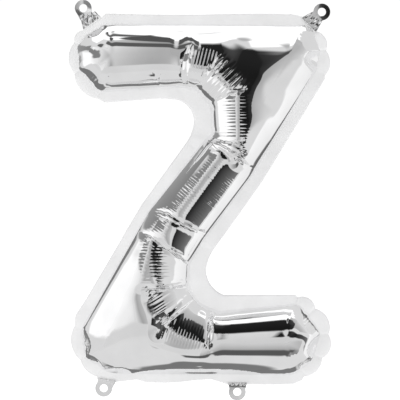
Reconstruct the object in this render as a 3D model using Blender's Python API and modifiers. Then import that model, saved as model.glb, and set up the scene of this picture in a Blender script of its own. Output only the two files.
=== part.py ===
"""Inflated foil letter Z with a sealed margin, an inflation neck and four hanging tabs.

The letter stands in the XZ plane with its front towards -Y. The origin is midway between
the holes of the two upper hanging tabs, on the plane of the seal. Tables hold millimetres
and are turned into metres where they are used.
"""

import math

import bmesh
import bpy
import numpy as np
from mathutils import Vector, geometry

COLLECTION_NAME = "letter_foil_balloon"
MM = 0.001
GAP = 0.0003
PANEL_THICKNESS = 0.0010
SEAL_THICKNESS = 0.0008
SEAL_UNDER_PANEL = 0.0014
OUTLINE_STEP_MM = 8.0
FILLET_STEP_MM = 5.0
SCALLOP_STEP_MM = 4.0
PANEL_POINT_STEP_MM = 10.0
ROW_DEPTHS_MM = (1.0, 5.0, 12.0)
LATTICE_DEPTH_MM = 17.0
CREASE_POINT_STEP_MM = 8.0
CREASE_SHOULDER_MM = 6.0
CREASE_CLEARANCE_MM = 5.0
CREASE_HALF_WIDTH_MM = 4.0
CREASE_END_FADE_MM = 12.0
STROKE_RADIUS_MM = 33.0
WIDE_PART_FLATTENING = 0.4
WIDE_PART_BLEND_MM = 4.0
SMOOTH_ANGLE = math.radians(40.0)

# Corners of the seam line round the inflated strokes: x, z and fillet radius.
SEAM_CORNERS_MM = (
    (-96.3, -13.4, 7.7),
    (103.9, -14.9, 13.5),
    (114.1, -38.6, 29.0),
    (110.7, -57.9, 25.0),
    (46.9, -162.4, 58.0),
    (3.3, -220.5, 29.0),
    (-12.1, -245.6, 13.5),
    (-12.6, -268.8, 15.5),
    (-2.5, -282.9, 19.3),
    (14.9, -291.1, 19.3),
    (93.3, -283.4, 13.5),
    (114.6, -310.4, 25.0),
    (105.9, -339.5, 21.3),
    (88.5, -352.5, 15.5),
    (-89.5, -351.6, 29.0),
    (-112.8, -336.6, 21.3),
    (-118.6, -310.4, 19.3),
    (-52.8, -194.4, 38.7),
    (-1.5, -129.1, 13.5),
    (8.7, -118.9, 6.0),
    (7.2, -92.8, 11.6),
    (-5.9, -78.7, 9.7),
    (-21.8, -75.4, 23.2),
    (-101.1, -79.7, 15.5),
    (-119.5, -57.9, 19.3),
    (-121.0, -35.7, 19.3),
    (-112.8, -24.6, 11.6),
)

# Outer edge of the sealed margin: x, z and the bulge of the arc to the next point.
MARGIN_EDGE_MM = (
    (-97.5, -7.1, 0.0),
    (-93.4, -3.4, -0.5),
    (0.4, -4.6, 0.4),
    (75.9, -3.7, -0.5),
    (85.6, -3.8, 0.0),
    (96.7, -6.4, 0.0),
    (110.9, -20.7, 4.5),
    (119.4, -39.1, 4.5),
    (118.1, -63.5, 0.0),
    (118.5, -66.2, 0.0),
    (57.6, -165.8, 0.0),
    (11.5, -230.6, -1.5),
    (3.3, -251.9, -4.4),
    (20.8, -275.6, 0.0),
    (89.9, -275.5, 0.0),
    (91.9, -277.7, 5.0),
    (109.2, -288.7, 6.3),
    (122.0, -313.8, 5.2),
    (115.9, -337.0, 4.5),
    (98.6, -354.6, 0.0),
    (96.2, -358.0, 0.0),
    (88.0, -361.7, 0.5),
    (43.0, -361.9, 0.0),
    (24.6, -362.1, 0.0),
    (8.7, -357.3, -0.5),
    (-21.3, -359.9, 0.5),
    (-54.2, -360.0, 0.0),
    (-64.4, -357.5, 0.0),
    (-84.2, -359.8, 0.0),
    (-101.6, -357.4, 0.0),
    (-102.5, -354.5, 2.9),
    (-118.1, -338.8, 6.3),
    (-123.6, -305.1, 0.4),
    (-122.6, -294.5, 0.0),
    (-113.1, -280.0, 0.0),
    (-58.7, -188.1, 0.0),
    (-15.5, -128.1, -1.5),
    (-8.2, -107.8, -4.8),
    (-25.7, -86.5, 0.0),
    (-41.6, -85.4, 0.0),
    (-94.9, -89.3, 0.0),
    (-101.3, -85.5, 6.1),
    (-123.9, -60.8, 5.6),
    (-123.7, -31.3, 3.2),
    (-115.9, -19.7, 0.0),
)

# Main folds across the strokes: depth, then points along the fold.
CREASES_MM = (
    (2.5, ((-9.2, -31.8), (-17.0, -48.3), (-20.8, -65.7), (-19.4, -77.3))),
    (1.5, ((15.9, -45.4), (8.2, -59.9), (1.4, -69.6), (-4.4, -80.2))),
    (2.5, ((43.0, -72.5), (30.4, -79.2), (18.8, -86.0), (7.2, -93.7))),
    (4.5, ((0.4, -126.1), (13.0, -130.5), (32.4, -142.1), (52.7, -155.7))),
    (3.5, ((-50.8, -193.4), (-29.6, -200.2), (-9.2, -209.8), (6.2, -218.5))),
    (3.5, ((-60.5, -214.7), (-45.0, -223.4), (-28.6, -232.1), (-10.2, -241.8))),
    (2.5, ((-59.5, -271.7), (-44.1, -271.7), (-27.6, -268.8), (-11.2, -264.0))),
    (2.5, ((-44.1, -301.7), (-30.5, -293.0), (-16.0, -285.3), (-1.5, -278.5))),
    (2.5, ((3.3, -326.9), (6.2, -314.3), (10.1, -302.7), (14.0, -291.1))),
)

TAB_RADIUS_MM = 8.2
TAB_HOLE_RADIUS_MM = 3.9
TAB_ARC_PARTS = 24
TAB_HOLE_PARTS = 20
TAB_BASE_TRIM_MM = 0.6

# Hanging tabs: centre of the hole, the two ends of the base, half angle of the round end.
HANG_TABS_MM = {
    "hang_tab_top_left": ((-115.4, 1.8), (-118.2, -9.2), (-107.2, -2.9), 115.0),
    "hang_tab_top_right": ((115.4, -1.8), (96.7, -6.4), (110.9, -20.7), 130.0),
    "hang_tab_bottom_left": ((-95.6, -365.7), (-84.2, -359.8), (-101.6, -357.4), 110.0),
    "hang_tab_bottom_right": ((33.5, -369.3), (43.0, -361.9), (24.6, -362.1), 110.0),
}

# Flat inflation neck at the upper left corner.
NECK_OUTLINE_MM = (
    (-115.4, -18.9),
    (-118.0, -9.6),
    (-106.8, -3.2),
    (-103.5, -1.5),
    (-98.0, -6.9),
)

FINISHES = {
    "mirror_foil": ((0.91, 0.91, 0.92), 0.06, 1.0),
    "sealed_film": ((0.80, 0.80, 0.81), 0.22, 1.0),
    "tab_film": ((0.82, 0.82, 0.83), 0.20, 1.0),
    "neck_film": ((0.78, 0.78, 0.79), 0.26, 1.0),
}


def clear_scene():
    """Remove every object of the start scene."""
    for item in list(bpy.data.objects):
        bpy.data.objects.remove(item, do_unlink=True)


def make_material(slot):
    """Return the Principled material of one finish."""
    colour, roughness, metallic = FINISHES[slot]
    material = bpy.data.materials.new(slot)
    material.use_nodes = True
    shader = material.node_tree.nodes["Principled BSDF"]
    shader.inputs["Base Color"].default_value = (*colour, 1.0)
    shader.inputs["Roughness"].default_value = roughness
    shader.inputs["Metallic"].default_value = metallic
    return material


def unit(vector):
    """Return a plane vector with the length one."""
    return vector / np.hypot(*vector)


def bulged_edge(start, end, bulge):
    """Return points of the arc from start up to, not including, end."""
    start, end = np.array(start, float), np.array(end, float)
    chord = float(np.hypot(*(end - start)))
    if bulge == 0.0:
        return [start]
    along = (end - start) / chord
    outward = np.array((-along[1], along[0])) * math.copysign(1.0, bulge)
    height = abs(bulge)
    radius = chord * chord / (8.0 * height) + height / 2.0
    half_angle = math.asin(min(1.0, chord / (2.0 * radius)))
    centre = (start + end) / 2.0 + outward * (height - radius)
    parts = max(2, round(2.0 * half_angle * radius / SCALLOP_STEP_MM))
    angles = [half_angle * (2.0 * k / parts - 1.0) for k in range(parts)]
    return [centre + along * radius * math.sin(t) + outward * radius * math.cos(t) for t in angles]


def bulged_loop(edge):
    """Return the closed outline described by points and bulges."""
    following = edge[1:] + edge[:1]
    points = []
    for (x, z, bulge), (next_x, next_z, _) in zip(edge, following):
        points.extend(bulged_edge((x, z), (next_x, next_z), bulge))
    return np.array(points)


def filleted_loop(corners):
    """Return the closed outline of a polygon with rounded corners."""
    points = []
    count = len(corners)
    for index, (x, z, radius) in enumerate(corners):
        corner = np.array((x, z))
        before = np.array(corners[index - 1][:2]) - corner
        after = np.array(corners[(index + 1) % count][:2]) - corner
        room = min(np.hypot(*before), np.hypot(*after)) / 2.0
        before, after = unit(before), unit(after)
        half_corner = math.acos(max(-1.0, min(1.0, float(before @ after)))) / 2.0
        tangent = min(radius / math.tan(half_corner), room)
        radius = tangent * math.tan(half_corner)
        start, end = corner + before * tangent, corner + after * tangent
        centre = corner + unit(before + after) * math.hypot(radius, tangent)
        first = math.atan2(*(start - centre)[::-1])
        last = math.atan2(*(end - centre)[::-1])
        turn = (last - first + math.pi) % (2.0 * math.pi) - math.pi
        parts = max(1, round(abs(turn) * radius / FILLET_STEP_MM))
        for k in range(parts + 1):
            angle = first + turn * k / parts
            points.append(centre + radius * np.array((math.cos(angle), math.sin(angle))))
    return np.array(points)


def even_loop(points, step):
    """Return a closed outline with its points at even distances."""
    closed = np.vstack([points, points[:1]])
    lengths = np.hypot(*np.diff(closed, axis=0).T)
    along = np.concatenate([[0.0], np.cumsum(lengths)])
    count = round(along[-1] / step)
    wanted = along[-1] * np.arange(count) / count
    return np.stack([np.interp(wanted, along, closed[:, k]) for k in (0, 1)], axis=1)


def inward_normals(loop):
    """Return unit vectors that point into a loop whose points run clockwise."""
    along = np.roll(loop, -1, axis=0) - np.roll(loop, 1, axis=0)
    along /= np.hypot(*along.T)[:, None]
    return np.stack([along[:, 1], -along[:, 0]], axis=1)


def distance_to_line(points, line):
    """Return the distance from each point to a line of straight stretches."""
    nearest = np.full(len(points), np.inf)
    for start, end in zip(line[:-1], line[1:]):
        stretch = end - start
        share = np.clip((points - start) @ stretch / (stretch @ stretch), 0.0, 1.0)
        away = points - start - share[:, None] * stretch
        nearest = np.minimum(nearest, np.hypot(*away.T))
    return nearest


def is_inside(points, loop):
    """Return whether each point is inside a closed loop."""
    inside = np.zeros(len(points), bool)
    for (x0, z0), (x1, z1) in zip(loop, np.roll(loop, -1, axis=0)):
        crosses = (z0 > points[:, 1]) != (z1 > points[:, 1])
        if z0 != z1:
            crossing = x0 + (points[:, 1] - z0) * (x1 - x0) / (z1 - z0)
            inside ^= crosses & (points[:, 0] < crossing)
    return inside


def crease_points():
    """Return points along each fold and along both of its shoulders."""
    points = []
    for _, fold in CREASES_MM:
        line = np.array(fold)
        lengths = np.concatenate([[0.0], np.cumsum(np.hypot(*np.diff(line, axis=0).T))])
        count = max(3, round(lengths[-1] / CREASE_POINT_STEP_MM))
        wanted = lengths[-1] * (np.arange(count) + 0.5) / count
        middle = np.stack([np.interp(wanted, lengths, line[:, k]) for k in (0, 1)], axis=1)
        across = unit(line[-1] - line[0])[::-1] * np.array((1.0, -1.0))
        for side in (-CREASE_SHOULDER_MM, 0.0, CREASE_SHOULDER_MM):
            points.extend(middle + across * side)
    return np.array(points)


def lattice_points(loop):
    """Return a triangular lattice over the box of a loop."""
    low, high = loop.min(axis=0), loop.max(axis=0)
    row_step = PANEL_POINT_STEP_MM * math.sin(math.radians(60.0))
    points = []
    for row in range(int((high[1] - low[1]) / row_step) + 1):
        shift = PANEL_POINT_STEP_MM / 2.0 * (row % 2)
        for column in range(int((high[0] - low[0]) / PANEL_POINT_STEP_MM) + 1):
            points.append((low[0] + shift + column * PANEL_POINT_STEP_MM, low[1] + row * row_step))
    return np.array(points)


def panel_triangles(seam):
    """Return the points and triangles that fill the seam line."""
    closed_seam = np.vstack([seam, seam[:1]])
    normals = inward_normals(seam)
    folds = crease_points()
    folds = folds[is_inside(folds, seam)]
    folds = folds[distance_to_line(folds, closed_seam) > ROW_DEPTHS_MM[1] / 2.0]
    groups = [folds]
    for depth in ROW_DEPTHS_MM:
        row = seam + normals * depth
        clear = distance_to_line(row, closed_seam) > 0.97 * depth
        groups.append(row[clear & is_inside(row, seam)])
    lattice = lattice_points(seam)
    lattice = lattice[is_inside(lattice, seam)]
    groups.append(lattice[distance_to_line(lattice, closed_seam) > LATTICE_DEPTH_MM])
    kept = [groups[0]]
    for group, clearance in zip(groups[1:], (0.8, 2.5, 4.0, CREASE_CLEARANCE_MM)):
        away = np.hypot(*(group[:, None] - folds[None]).transpose(2, 0, 1)).min(axis=1)
        kept.append(group[away > clearance])
    everything = np.vstack([seam, *kept])
    vectors = [Vector(point) for point in everything]
    border = [list(range(len(seam)))]
    points, _, triangles, _, _, _ = geometry.delaunay_2d_cdt(vectors, [], border, 1, 1e-6)
    return np.array([tuple(point) for point in points]), np.array(triangles)


def pressed_height(points, triangles):
    """Return the height that air pressure gives a film held at its border."""
    count = len(points)
    stiffness = np.zeros((count, count))
    load = np.zeros(count)
    corners = points[triangles]
    for k in range(3):
        here, near, far = triangles[:, k], triangles[:, (k + 1) % 3], triangles[:, (k + 2) % 3]
        to_near = corners[:, (k + 1) % 3] - corners[:, k]
        to_far = corners[:, (k + 2) % 3] - corners[:, k]
        double_area = np.abs(to_near[:, 0] * to_far[:, 1] - to_near[:, 1] * to_far[:, 0])
        weight = (to_near * to_far).sum(axis=1) / double_area / 2.0
        np.add.at(stiffness, (near, far), -weight)
        np.add.at(stiffness, (far, near), -weight)
        np.add.at(stiffness, (near, near), weight)
        np.add.at(stiffness, (far, far), weight)
        np.add.at(load, here, double_area / 6.0)
    sides = np.sort(triangles[:, [[0, 1], [1, 2], [2, 0]]].reshape(-1, 2), axis=1)
    edges, uses = np.unique(sides, axis=0, return_counts=True)
    free = np.ones(count, bool)
    free[np.unique(edges[uses == 1])] = False
    squared = np.zeros(count)
    squared[free] = np.linalg.solve(stiffness[np.ix_(free, free)], load[free])
    height = np.sqrt(2.0 * np.maximum(squared, 0.0))
    over = np.log1p(np.exp((height - STROKE_RADIUS_MM) / WIDE_PART_BLEND_MM))
    return height - WIDE_PART_FLATTENING * WIDE_PART_BLEND_MM * over, free


def crease_depth(points, seam):
    """Return how deep the folds press each point of a panel."""
    depth = np.zeros(len(points))
    to_seam = distance_to_line(points, np.vstack([seam, seam[:1]]))
    for fold_depth, fold in CREASES_MM:
        away = distance_to_line(points, np.array(fold))
        shape = np.exp(-((away / CREASE_HALF_WIDTH_MM) ** 2))
        depth = np.maximum(depth, fold_depth * shape)
    return depth * np.clip(to_seam / CREASE_END_FADE_MM, 0.0, 1.0)


def add_object(name, mesh, slot, collection):
    """Link a mesh under a name with its material."""
    item = bpy.data.objects.new(name, mesh)
    item.data.materials.append(bpy.data.materials.get(slot) or make_material(slot))
    collection.objects.link(item)
    return item


def make_panel(name, side, seam, collection):
    """Build one inflated sheet, side -1 at the front and 1 at the back."""
    points, triangles = panel_triangles(seam)
    height, free = pressed_height(points, triangles)
    height = np.where(free, height - crease_depth(points, seam), 0.0)
    rim = SEAL_THICKNESS / 2.0 + GAP
    shape = bmesh.new()
    corners = [shape.verts.new((x * MM, side * (rim + h * MM), z * MM)) for (x, z), h in zip(points, height)]
    for triangle in triangles:
        shape.faces.new([corners[k] for k in triangle])
    bmesh.ops.recalc_face_normals(shape, faces=shape.faces[:])
    mean_normal = sum((face.normal * face.calc_area() for face in shape.faces), Vector())
    if mean_normal.y * side < 0.0:
        bmesh.ops.reverse_faces(shape, faces=shape.faces[:])
    mesh = bpy.data.meshes.new(name)
    shape.to_mesh(mesh)
    shape.free()
    panel = add_object(name, mesh, "mirror_foil", collection)
    thicken = panel.modifiers.new("thickness", "SOLIDIFY")
    thicken.thickness = PANEL_THICKNESS
    thicken.offset = -1.0
    apply_modifiers(panel)
    panel.data.shade_smooth()
    panel.data.set_sharp_from_angle(angle=SMOOTH_ANGLE)
    return panel


def apply_modifiers(item):
    """Replace an object's mesh by the result of its modifiers."""
    graph = bpy.context.evaluated_depsgraph_get()
    result = bpy.data.meshes.new_from_object(item.evaluated_get(graph))
    item.modifiers.clear()
    item.data = result


def make_flat_film(name, outlines, slot, collection):
    """Build a flat film from closed outlines; the ones after the first are holes."""
    curve = bpy.data.curves.new(name, "CURVE")
    curve.dimensions = "2D"
    curve.fill_mode = "BOTH"
    curve.extrude = SEAL_THICKNESS / 2.0
    for outline in outlines:
        spline = curve.splines.new("POLY")
        spline.points.add(len(outline) - 1)
        for point, (x, z) in zip(spline.points, outline):
            point.co = (x * MM, z * MM, 0.0, 1.0)
        spline.use_cyclic_u = True
    drawn = bpy.data.objects.new(name + "_curve", curve)
    collection.objects.link(drawn)
    graph = bpy.context.evaluated_depsgraph_get()
    mesh = bpy.data.meshes.new_from_object(drawn.evaluated_get(graph))
    mesh.name = name
    bpy.data.objects.remove(drawn, do_unlink=True)
    shape = bmesh.new()
    shape.from_mesh(mesh)
    bmesh.ops.remove_doubles(shape, verts=shape.verts[:], dist=1e-6)
    for vertex in shape.verts:
        vertex.co = Vector((vertex.co.x, -vertex.co.z, vertex.co.y))
    bmesh.ops.recalc_face_normals(shape, faces=shape.faces[:])
    shape.to_mesh(mesh)
    shape.free()
    film = add_object(name, mesh, slot, collection)
    film.data.shade_smooth()
    film.data.set_sharp_from_angle(angle=SMOOTH_ANGLE)
    return film


def tab_outlines(centre, base_a, base_b, half_angle):
    """Return the outline of a hanging tab and of its hole."""
    centre, base_a, base_b = (np.array(point) for point in (centre, base_a, base_b))
    across = unit(base_b - base_a)
    away = np.array((across[1], -across[0]))
    away *= math.copysign(1.0, float(away @ (centre - base_a)))
    foot_a = base_a + across * TAB_BASE_TRIM_MM + away * GAP / MM
    foot_b = base_b - across * TAB_BASE_TRIM_MM + away * GAP / MM
    limit = math.radians(half_angle)
    angles = [limit * (1.0 - 2.0 * k / TAB_ARC_PARTS) for k in range(TAB_ARC_PARTS + 1)]
    turns = [(math.cos(t), math.sin(t)) for t in angles]
    arc = [centre + TAB_RADIUS_MM * (away * c + across * s) for c, s in turns]
    full = [2.0 * math.pi * k / TAB_HOLE_PARTS for k in range(TAB_HOLE_PARTS)]
    hole = [centre + TAB_HOLE_RADIUS_MM * np.array((math.cos(t), math.sin(t))) for t in full]
    return [foot_b, *arc, foot_a], hole


def main():
    """Build every sub-part of the balloon."""
    clear_scene()
    collection = bpy.data.collections.new(COLLECTION_NAME)
    bpy.context.scene.collection.children.link(collection)
    seam = even_loop(filleted_loop(SEAM_CORNERS_MM), OUTLINE_STEP_MM)
    make_panel("front_panel", -1.0, seam, collection)
    make_panel("back_panel", 1.0, seam, collection)
    inner_edge = seam + inward_normals(seam) * SEAL_UNDER_PANEL / MM
    margin_edge = bulged_loop(MARGIN_EDGE_MM)
    make_flat_film("sealed_margin", [margin_edge, inner_edge], "sealed_film", collection)
    make_flat_film("inflation_neck", [NECK_OUTLINE_MM], "neck_film", collection)
    for name, sizes in HANG_TABS_MM.items():
        make_flat_film(name, tab_outlines(*sizes), "tab_film", collection)


main()
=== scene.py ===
"""Looks of the blown-up mirror-foil letter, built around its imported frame.

The letter stands in the XZ plane with its front towards -Y and hangs by four eyelets. Tables
hold millimetres and are turned into metres when a mesh is written.
"""

import logging
import math
from dataclasses import dataclass, field
from enum import Enum
from typing import Sequence

import bmesh
import bpy
import numpy as np
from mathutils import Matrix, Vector
from mathutils.kdtree import KDTree


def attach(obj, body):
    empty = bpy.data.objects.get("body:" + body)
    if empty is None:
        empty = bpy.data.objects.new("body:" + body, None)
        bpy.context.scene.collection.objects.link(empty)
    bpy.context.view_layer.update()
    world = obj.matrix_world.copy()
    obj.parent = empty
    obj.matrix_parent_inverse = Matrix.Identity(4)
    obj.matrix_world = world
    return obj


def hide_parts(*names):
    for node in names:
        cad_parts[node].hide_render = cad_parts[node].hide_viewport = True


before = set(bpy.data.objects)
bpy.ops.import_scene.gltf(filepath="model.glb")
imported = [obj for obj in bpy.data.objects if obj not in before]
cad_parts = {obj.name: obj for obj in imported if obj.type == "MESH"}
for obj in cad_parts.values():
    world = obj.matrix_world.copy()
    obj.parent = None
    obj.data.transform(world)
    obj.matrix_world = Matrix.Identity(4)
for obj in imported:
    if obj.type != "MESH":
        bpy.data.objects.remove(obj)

LOG = logging.getLogger("letter_foil_balloon")
BODY = "root"
STRAIN = "spare"
MM = 0.001

# Smallest length that is divided by, and the same for threads and crossings.
TINY, TINIER = 1e-6, 1e-9
# Distances between the points on a fillet and along a dense outline.
FILLET_STEP, LOOP_STEP = 1.0, 0.5
# How far below a lattice's size a sampled place stays, to lie inside the last cell.
LAST_CELL = 1.001
# Solving a pressed field: sweeps on the coarsest lattice, the most points on its short side,
# sweeps on each finer lattice, and how far each step overshoots.
COARSE_SWEEPS, COARSE_SIDE, FINE_SWEEPS, OVERSHOOT = 500, 60, 60, 1.6

# Corners of the seam line round the blown-up strokes: x, z and fillet radius.
SEAM_CORNERS_MM = (
    (-96.3, -13.4, 7.7), (103.9, -14.9, 13.5), (114.1, -38.6, 29.0), (110.7, -57.9, 25.0),
    (46.9, -162.4, 58.0), (3.3, -220.5, 29.0), (-12.1, -245.6, 13.5), (-12.6, -268.8, 15.5),
    (-2.5, -282.9, 19.3), (14.9, -291.1, 19.3), (93.3, -283.4, 13.5), (114.6, -310.4, 25.0),
    (105.9, -339.5, 21.3), (88.5, -352.5, 15.5), (-89.5, -351.6, 29.0), (-112.8, -336.6, 21.3),
    (-118.6, -310.4, 19.3), (-52.8, -194.4, 38.7), (-1.5, -129.1, 13.5), (8.7, -118.9, 6.0),
    (7.2, -92.8, 11.6), (-5.9, -78.7, 9.7), (-21.8, -75.4, 23.2), (-101.1, -79.7, 15.5),
    (-119.5, -57.9, 19.3), (-121.0, -35.7, 19.3), (-112.8, -24.6, 11.6),
)

# Outer edge of the sealed margin: x, z and the bulge of the arc to the next point.
MARGIN_EDGE_MM = (
    (-97.5, -7.1, 0.0), (-93.4, -3.4, -0.5), (0.4, -4.6, 0.4), (75.9, -3.7, -0.5),
    (85.6, -3.8, 0.0), (96.7, -6.4, 0.0), (110.9, -20.7, 4.5), (119.4, -39.1, 4.5),
    (118.1, -63.5, 0.0), (118.5, -66.2, 0.0), (57.6, -165.8, 0.0), (11.5, -230.6, -1.5),
    (3.3, -251.9, -4.4), (20.8, -275.6, 0.0), (89.9, -275.5, 0.0), (91.9, -277.7, 5.0),
    (109.2, -288.7, 6.3), (122.0, -313.8, 5.2), (115.9, -337.0, 4.5), (98.6, -354.6, 0.0),
    (96.2, -358.0, 0.0), (88.0, -361.7, 0.5), (43.0, -361.9, 0.0), (24.6, -362.1, 0.0),
    (8.7, -357.3, -0.5), (-21.3, -359.9, 0.5), (-54.2, -360.0, 0.0), (-64.4, -357.5, 0.0),
    (-84.2, -359.8, 0.0), (-101.6, -357.4, 0.0), (-102.5, -354.5, 2.9), (-118.1, -338.8, 6.3),
    (-123.6, -305.1, 0.4), (-122.6, -294.5, 0.0), (-113.1, -280.0, 0.0), (-58.7, -188.1, 0.0),
    (-15.5, -128.1, -1.5), (-8.2, -107.8, -4.8), (-25.7, -86.5, 0.0), (-41.6, -85.4, 0.0),
    (-94.9, -89.3, 0.0), (-101.3, -85.5, 6.1), (-123.9, -60.8, 5.6), (-123.7, -31.3, 3.2),
    (-115.9, -19.7, 0.0),
)

# The strokes as if they ran on past their closed ends, which gives them their round section.
STROKE_CORNERS_MM = (
    (136.9, -15.1, 6.0), (46.9, -162.4, 58.0), (3.3, -220.5, 29.0), (-12.1, -245.6, 13.5),
    (-12.6, -268.8, 15.5), (-2.5, -282.9, 19.3), (14.9, -291.1, 19.3), (150.0, -277.8, 4.0),
    (150.0, -353.0, 4.0), (-142.0, -351.6, 6.0), (-52.8, -194.4, 38.7), (-1.5, -129.1, 13.5),
    (8.7, -118.9, 6.0), (7.2, -92.8, 11.6), (-5.9, -78.7, 9.7), (-21.8, -75.4, 23.2),
    (-150.0, -82.3, 4.0), (-150.0, -13.0, 4.0),
)

# Closed ends of the strokes, as corners of the seam line, and how fast the film rises there.
END_SEAMS_MM = (
    (17.0, ((-101.1, -79.7), (-119.5, -57.9), (-121.0, -35.7), (-112.8, -24.6), (-96.3, -13.4))),
    (15.0, ((103.9, -14.9), (114.1, -38.6), (110.7, -57.9))),
    (17.0, ((93.3, -283.4), (114.6, -310.4), (105.9, -339.5), (88.5, -352.5))),
    (17.0, ((-89.5, -351.6), (-112.8, -336.6), (-118.6, -310.4))),
)


class Side(Enum):
    """Which way a film bulges from the plane of the seal."""

    FRONT = -1.0
    BACK = 1.0


@dataclass(frozen=True)
class Fold:
    """A pressed-in fold across a stroke.

    Attributes:
        depth: How far the fold sinks below the round film, in millimetres.
        line: Points (x, z) along the fold.
        width: Half width of the fold's walls.
        wobble: How far the fold swings to either side.
    """

    depth: float
    line: tuple
    width: float = 1.4
    wobble: float = 0.35


@dataclass(frozen=True)
class Panel:
    """One flat-sided panel of a bend, with pleats across it.

    Attributes:
        facing: Direction that it faces, in degrees clockwise from straight up.
        crown: Distance from the middle of the bend at which it is highest.
        rise: Its height there.
        inner: Distance at which its pleats start.
        outer: Distance at which they end.
        swell: Height of the pleats.
        spacing: Distance from pleat to pleat.
        calm: Distance at which the pleats die down in their middle, or 0.
        slope: How fast the height falls clockwise round the bend.
    """

    facing: float
    crown: float
    rise: float
    inner: float
    outer: float
    swell: float = 0.25
    spacing: float = 3.4
    calm: float = 0.0
    slope: float = 0.0


@dataclass(frozen=True)
class Fan:
    """A bend of the film round an inner corner, folded into flat-sided panels.

    Attributes:
        centre: Middle of the bend, x and z in millimetres.
        creases: Directions of the creases between panels, in degrees clockwise from straight up.
        panels: The panel between each crease and the next.
        reach: Distance from the middle at which the panels start to fade out.
    """

    centre: tuple
    creases: tuple
    panels: tuple
    reach: float = 64.0

    def laid_out(self, plan: np.ndarray) -> list[tuple]:
        """Lay the panels out over plan points.

        Args:
            plan: Plan points (x, z) on a lattice.

        Returns:
            Each panel with where it lies, and the distances along and across it.
        """
        away = plan - np.array(self.centre)
        angle = np.degrees(np.arctan2(away[..., 0], away[..., 1]))
        found = []
        for panel, first, last in zip(self.panels, self.creases[:-1], self.creases[1:]):
            turned = (angle - (first + last) / 2.0 + 180.0) % 360.0 - 180.0
            facing = math.radians(panel.facing)
            along = away @ np.array((math.sin(facing), math.cos(facing)))
            across = away @ np.array((math.cos(facing), -math.sin(facing)))
            here = (np.abs(turned) <= (last - first) / 2.0) & (along > 0.0)
            found.append((panel, here, along, across))
        return found


@dataclass(frozen=True)
class Hatch:
    """A strip of fine cross pleats along a line.

    Attributes:
        line: Start and end (x, z) of the strip.
        width: Half width of the strip, in millimetres.
        swell: Height of the pleats.
        spacing: Distance from pleat to pleat.
    """

    line: tuple
    width: float
    swell: float
    spacing: float = 2.7


@dataclass(frozen=True)
class Facet:
    """A flattened lens of film next to the seam at a rounded corner.

    Attributes:
        start: One tip of the lens on the seam, x and z in millimetres.
        end: Other tip.
        width: How far the lens reaches in from the seam.
        press: Share of the film's height by which it is pressed in.
        swell: Height of its short pleats.
        spacing: Distance from pleat to pleat.
    """

    start: tuple
    end: tuple
    width: float
    press: float = 0.4
    swell: float = 0.0
    spacing: float = 2.6


@dataclass(frozen=True)
class Hip:
    """A wide corner of the letter, whose two slopes meet in a soft ridge.

    Attributes:
        line: Points (x, z) along the ridge.
        share: How far the film follows the two slopes.
        reach: Distance from the ridge up to which it does so.
    """

    line: tuple
    share: float = 0.8
    reach: float = 26.0


@dataclass(frozen=True)
class Lean:
    """A straight stroke whose highest line lies beside its middle.

    Attributes:
        line: Start and end (x, z) of the stroke's middle line.
        slope: Slope across the middle, rising to the left of the line's direction.
        half_width: Half width of the stroke.
    """

    line: tuple
    slope: float
    half_width: float = 33.0


@dataclass(frozen=True)
class EndPucker:
    """A place on an outer corner where the film is gathered at its seam.

    Attributes:
        centre: Middle of the place, x and z in millimetres.
        reach: Distance from it over which the film is gathered.
    """

    centre: tuple
    reach: float = 26.0


FOLDS = (
    Fold(1.32, ((-9.2, -32.3), (-15.0, -40.5), (-18.4, -48.3), (-19.9, -61.8), (-19.4, -73.4))),
    Fold(0.88, ((-9.2, -32.8), (-12.1, -46.3), (-14.6, -57.9), (-16.0, -72.5))),
    Fold(1.32, ((23.7, -49.2), (9.1, -64.7), (-2.5, -78.3), (-10.2, -88.9))),
    Fold(0.77, ((15.4, -45.4), (5.3, -57.9), (-4.4, -70.5))),
    Fold(1.54, ((44.9, -75.8), (31.4, -81.2), (15.9, -86.0), (3.3, -92.8), (-6.3, -98.6))),
    Fold(0.83, ((44.9, -78.3), (34.3, -79.2), (23.7, -82.1))),
    Fold(1.43, ((0.4, -123.7), (16.9, -126.6), (32.4, -129.1), (44.0, -126.6))),
    Fold(1.87, ((-3.4, -120.8), (11.1, -132.4), (32.4, -145.0), (52.7, -156.1))),
    Fold(1.1, ((7.2, -124.7), (26.6, -135.3), (42.0, -143.1), (51.7, -153.7))),
    Fold(0.88, ((24.6, -126.6), (37.2, -136.3), (50.7, -154.7))),
    Fold(1.54, ((-50.8, -192.4), (-43.1, -193.9), (-33.4, -195.8), (-18.9, -206.0),
        (-5.4, -213.2), (5.3, -216.1))),
    Fold(1.1, ((-49.9, -195.3), (-41.2, -199.2), (-25.7, -206.4), (-12.1, -213.2), (3.3, -218.5))),
    Fold(1.54, ((-62.4, -213.7), (-50.8, -217.6), (-33.4, -229.7), (-14.1, -238.4))),
    Fold(0.99, ((-62.0, -216.1), (-48.9, -221.4), (-35.4, -231.6))),
    Fold(1.43, ((-59.5, -267.4), (-48.9, -266.9), (-35.4, -264.5), (-23.7, -262.1),
        (-10.2, -260.1))),
    Fold(0.99, ((-59.5, -270.3), (-47.9, -269.3), (-33.4, -265.9))),
    Fold(1.43, ((-46.0, -301.2), (-38.3, -295.9), (-29.6, -289.6), (-19.9, -280.4),
        (-9.2, -271.7))),
    Fold(0.94, ((-43.1, -303.7), (-34.4, -295.9), (-25.7, -288.2))),
    Fold(1.43, ((3.3, -325.4), (4.8, -314.3), (6.7, -303.7), (10.6, -288.2), (14.0, -281.4))),
    Fold(0.99, ((6.2, -324.0), (8.2, -309.5), (11.1, -297.9), (13.0, -284.3))),
    Fold(0.9, ((-48.5, -58.8), (-43.1, -69.6), (-35.8, -81.2)), 0.9),
    Fold(0.8, ((-37.7, -61.8), (-43.1, -70.5), (-48.0, -81.2)), 0.9),
)

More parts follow.
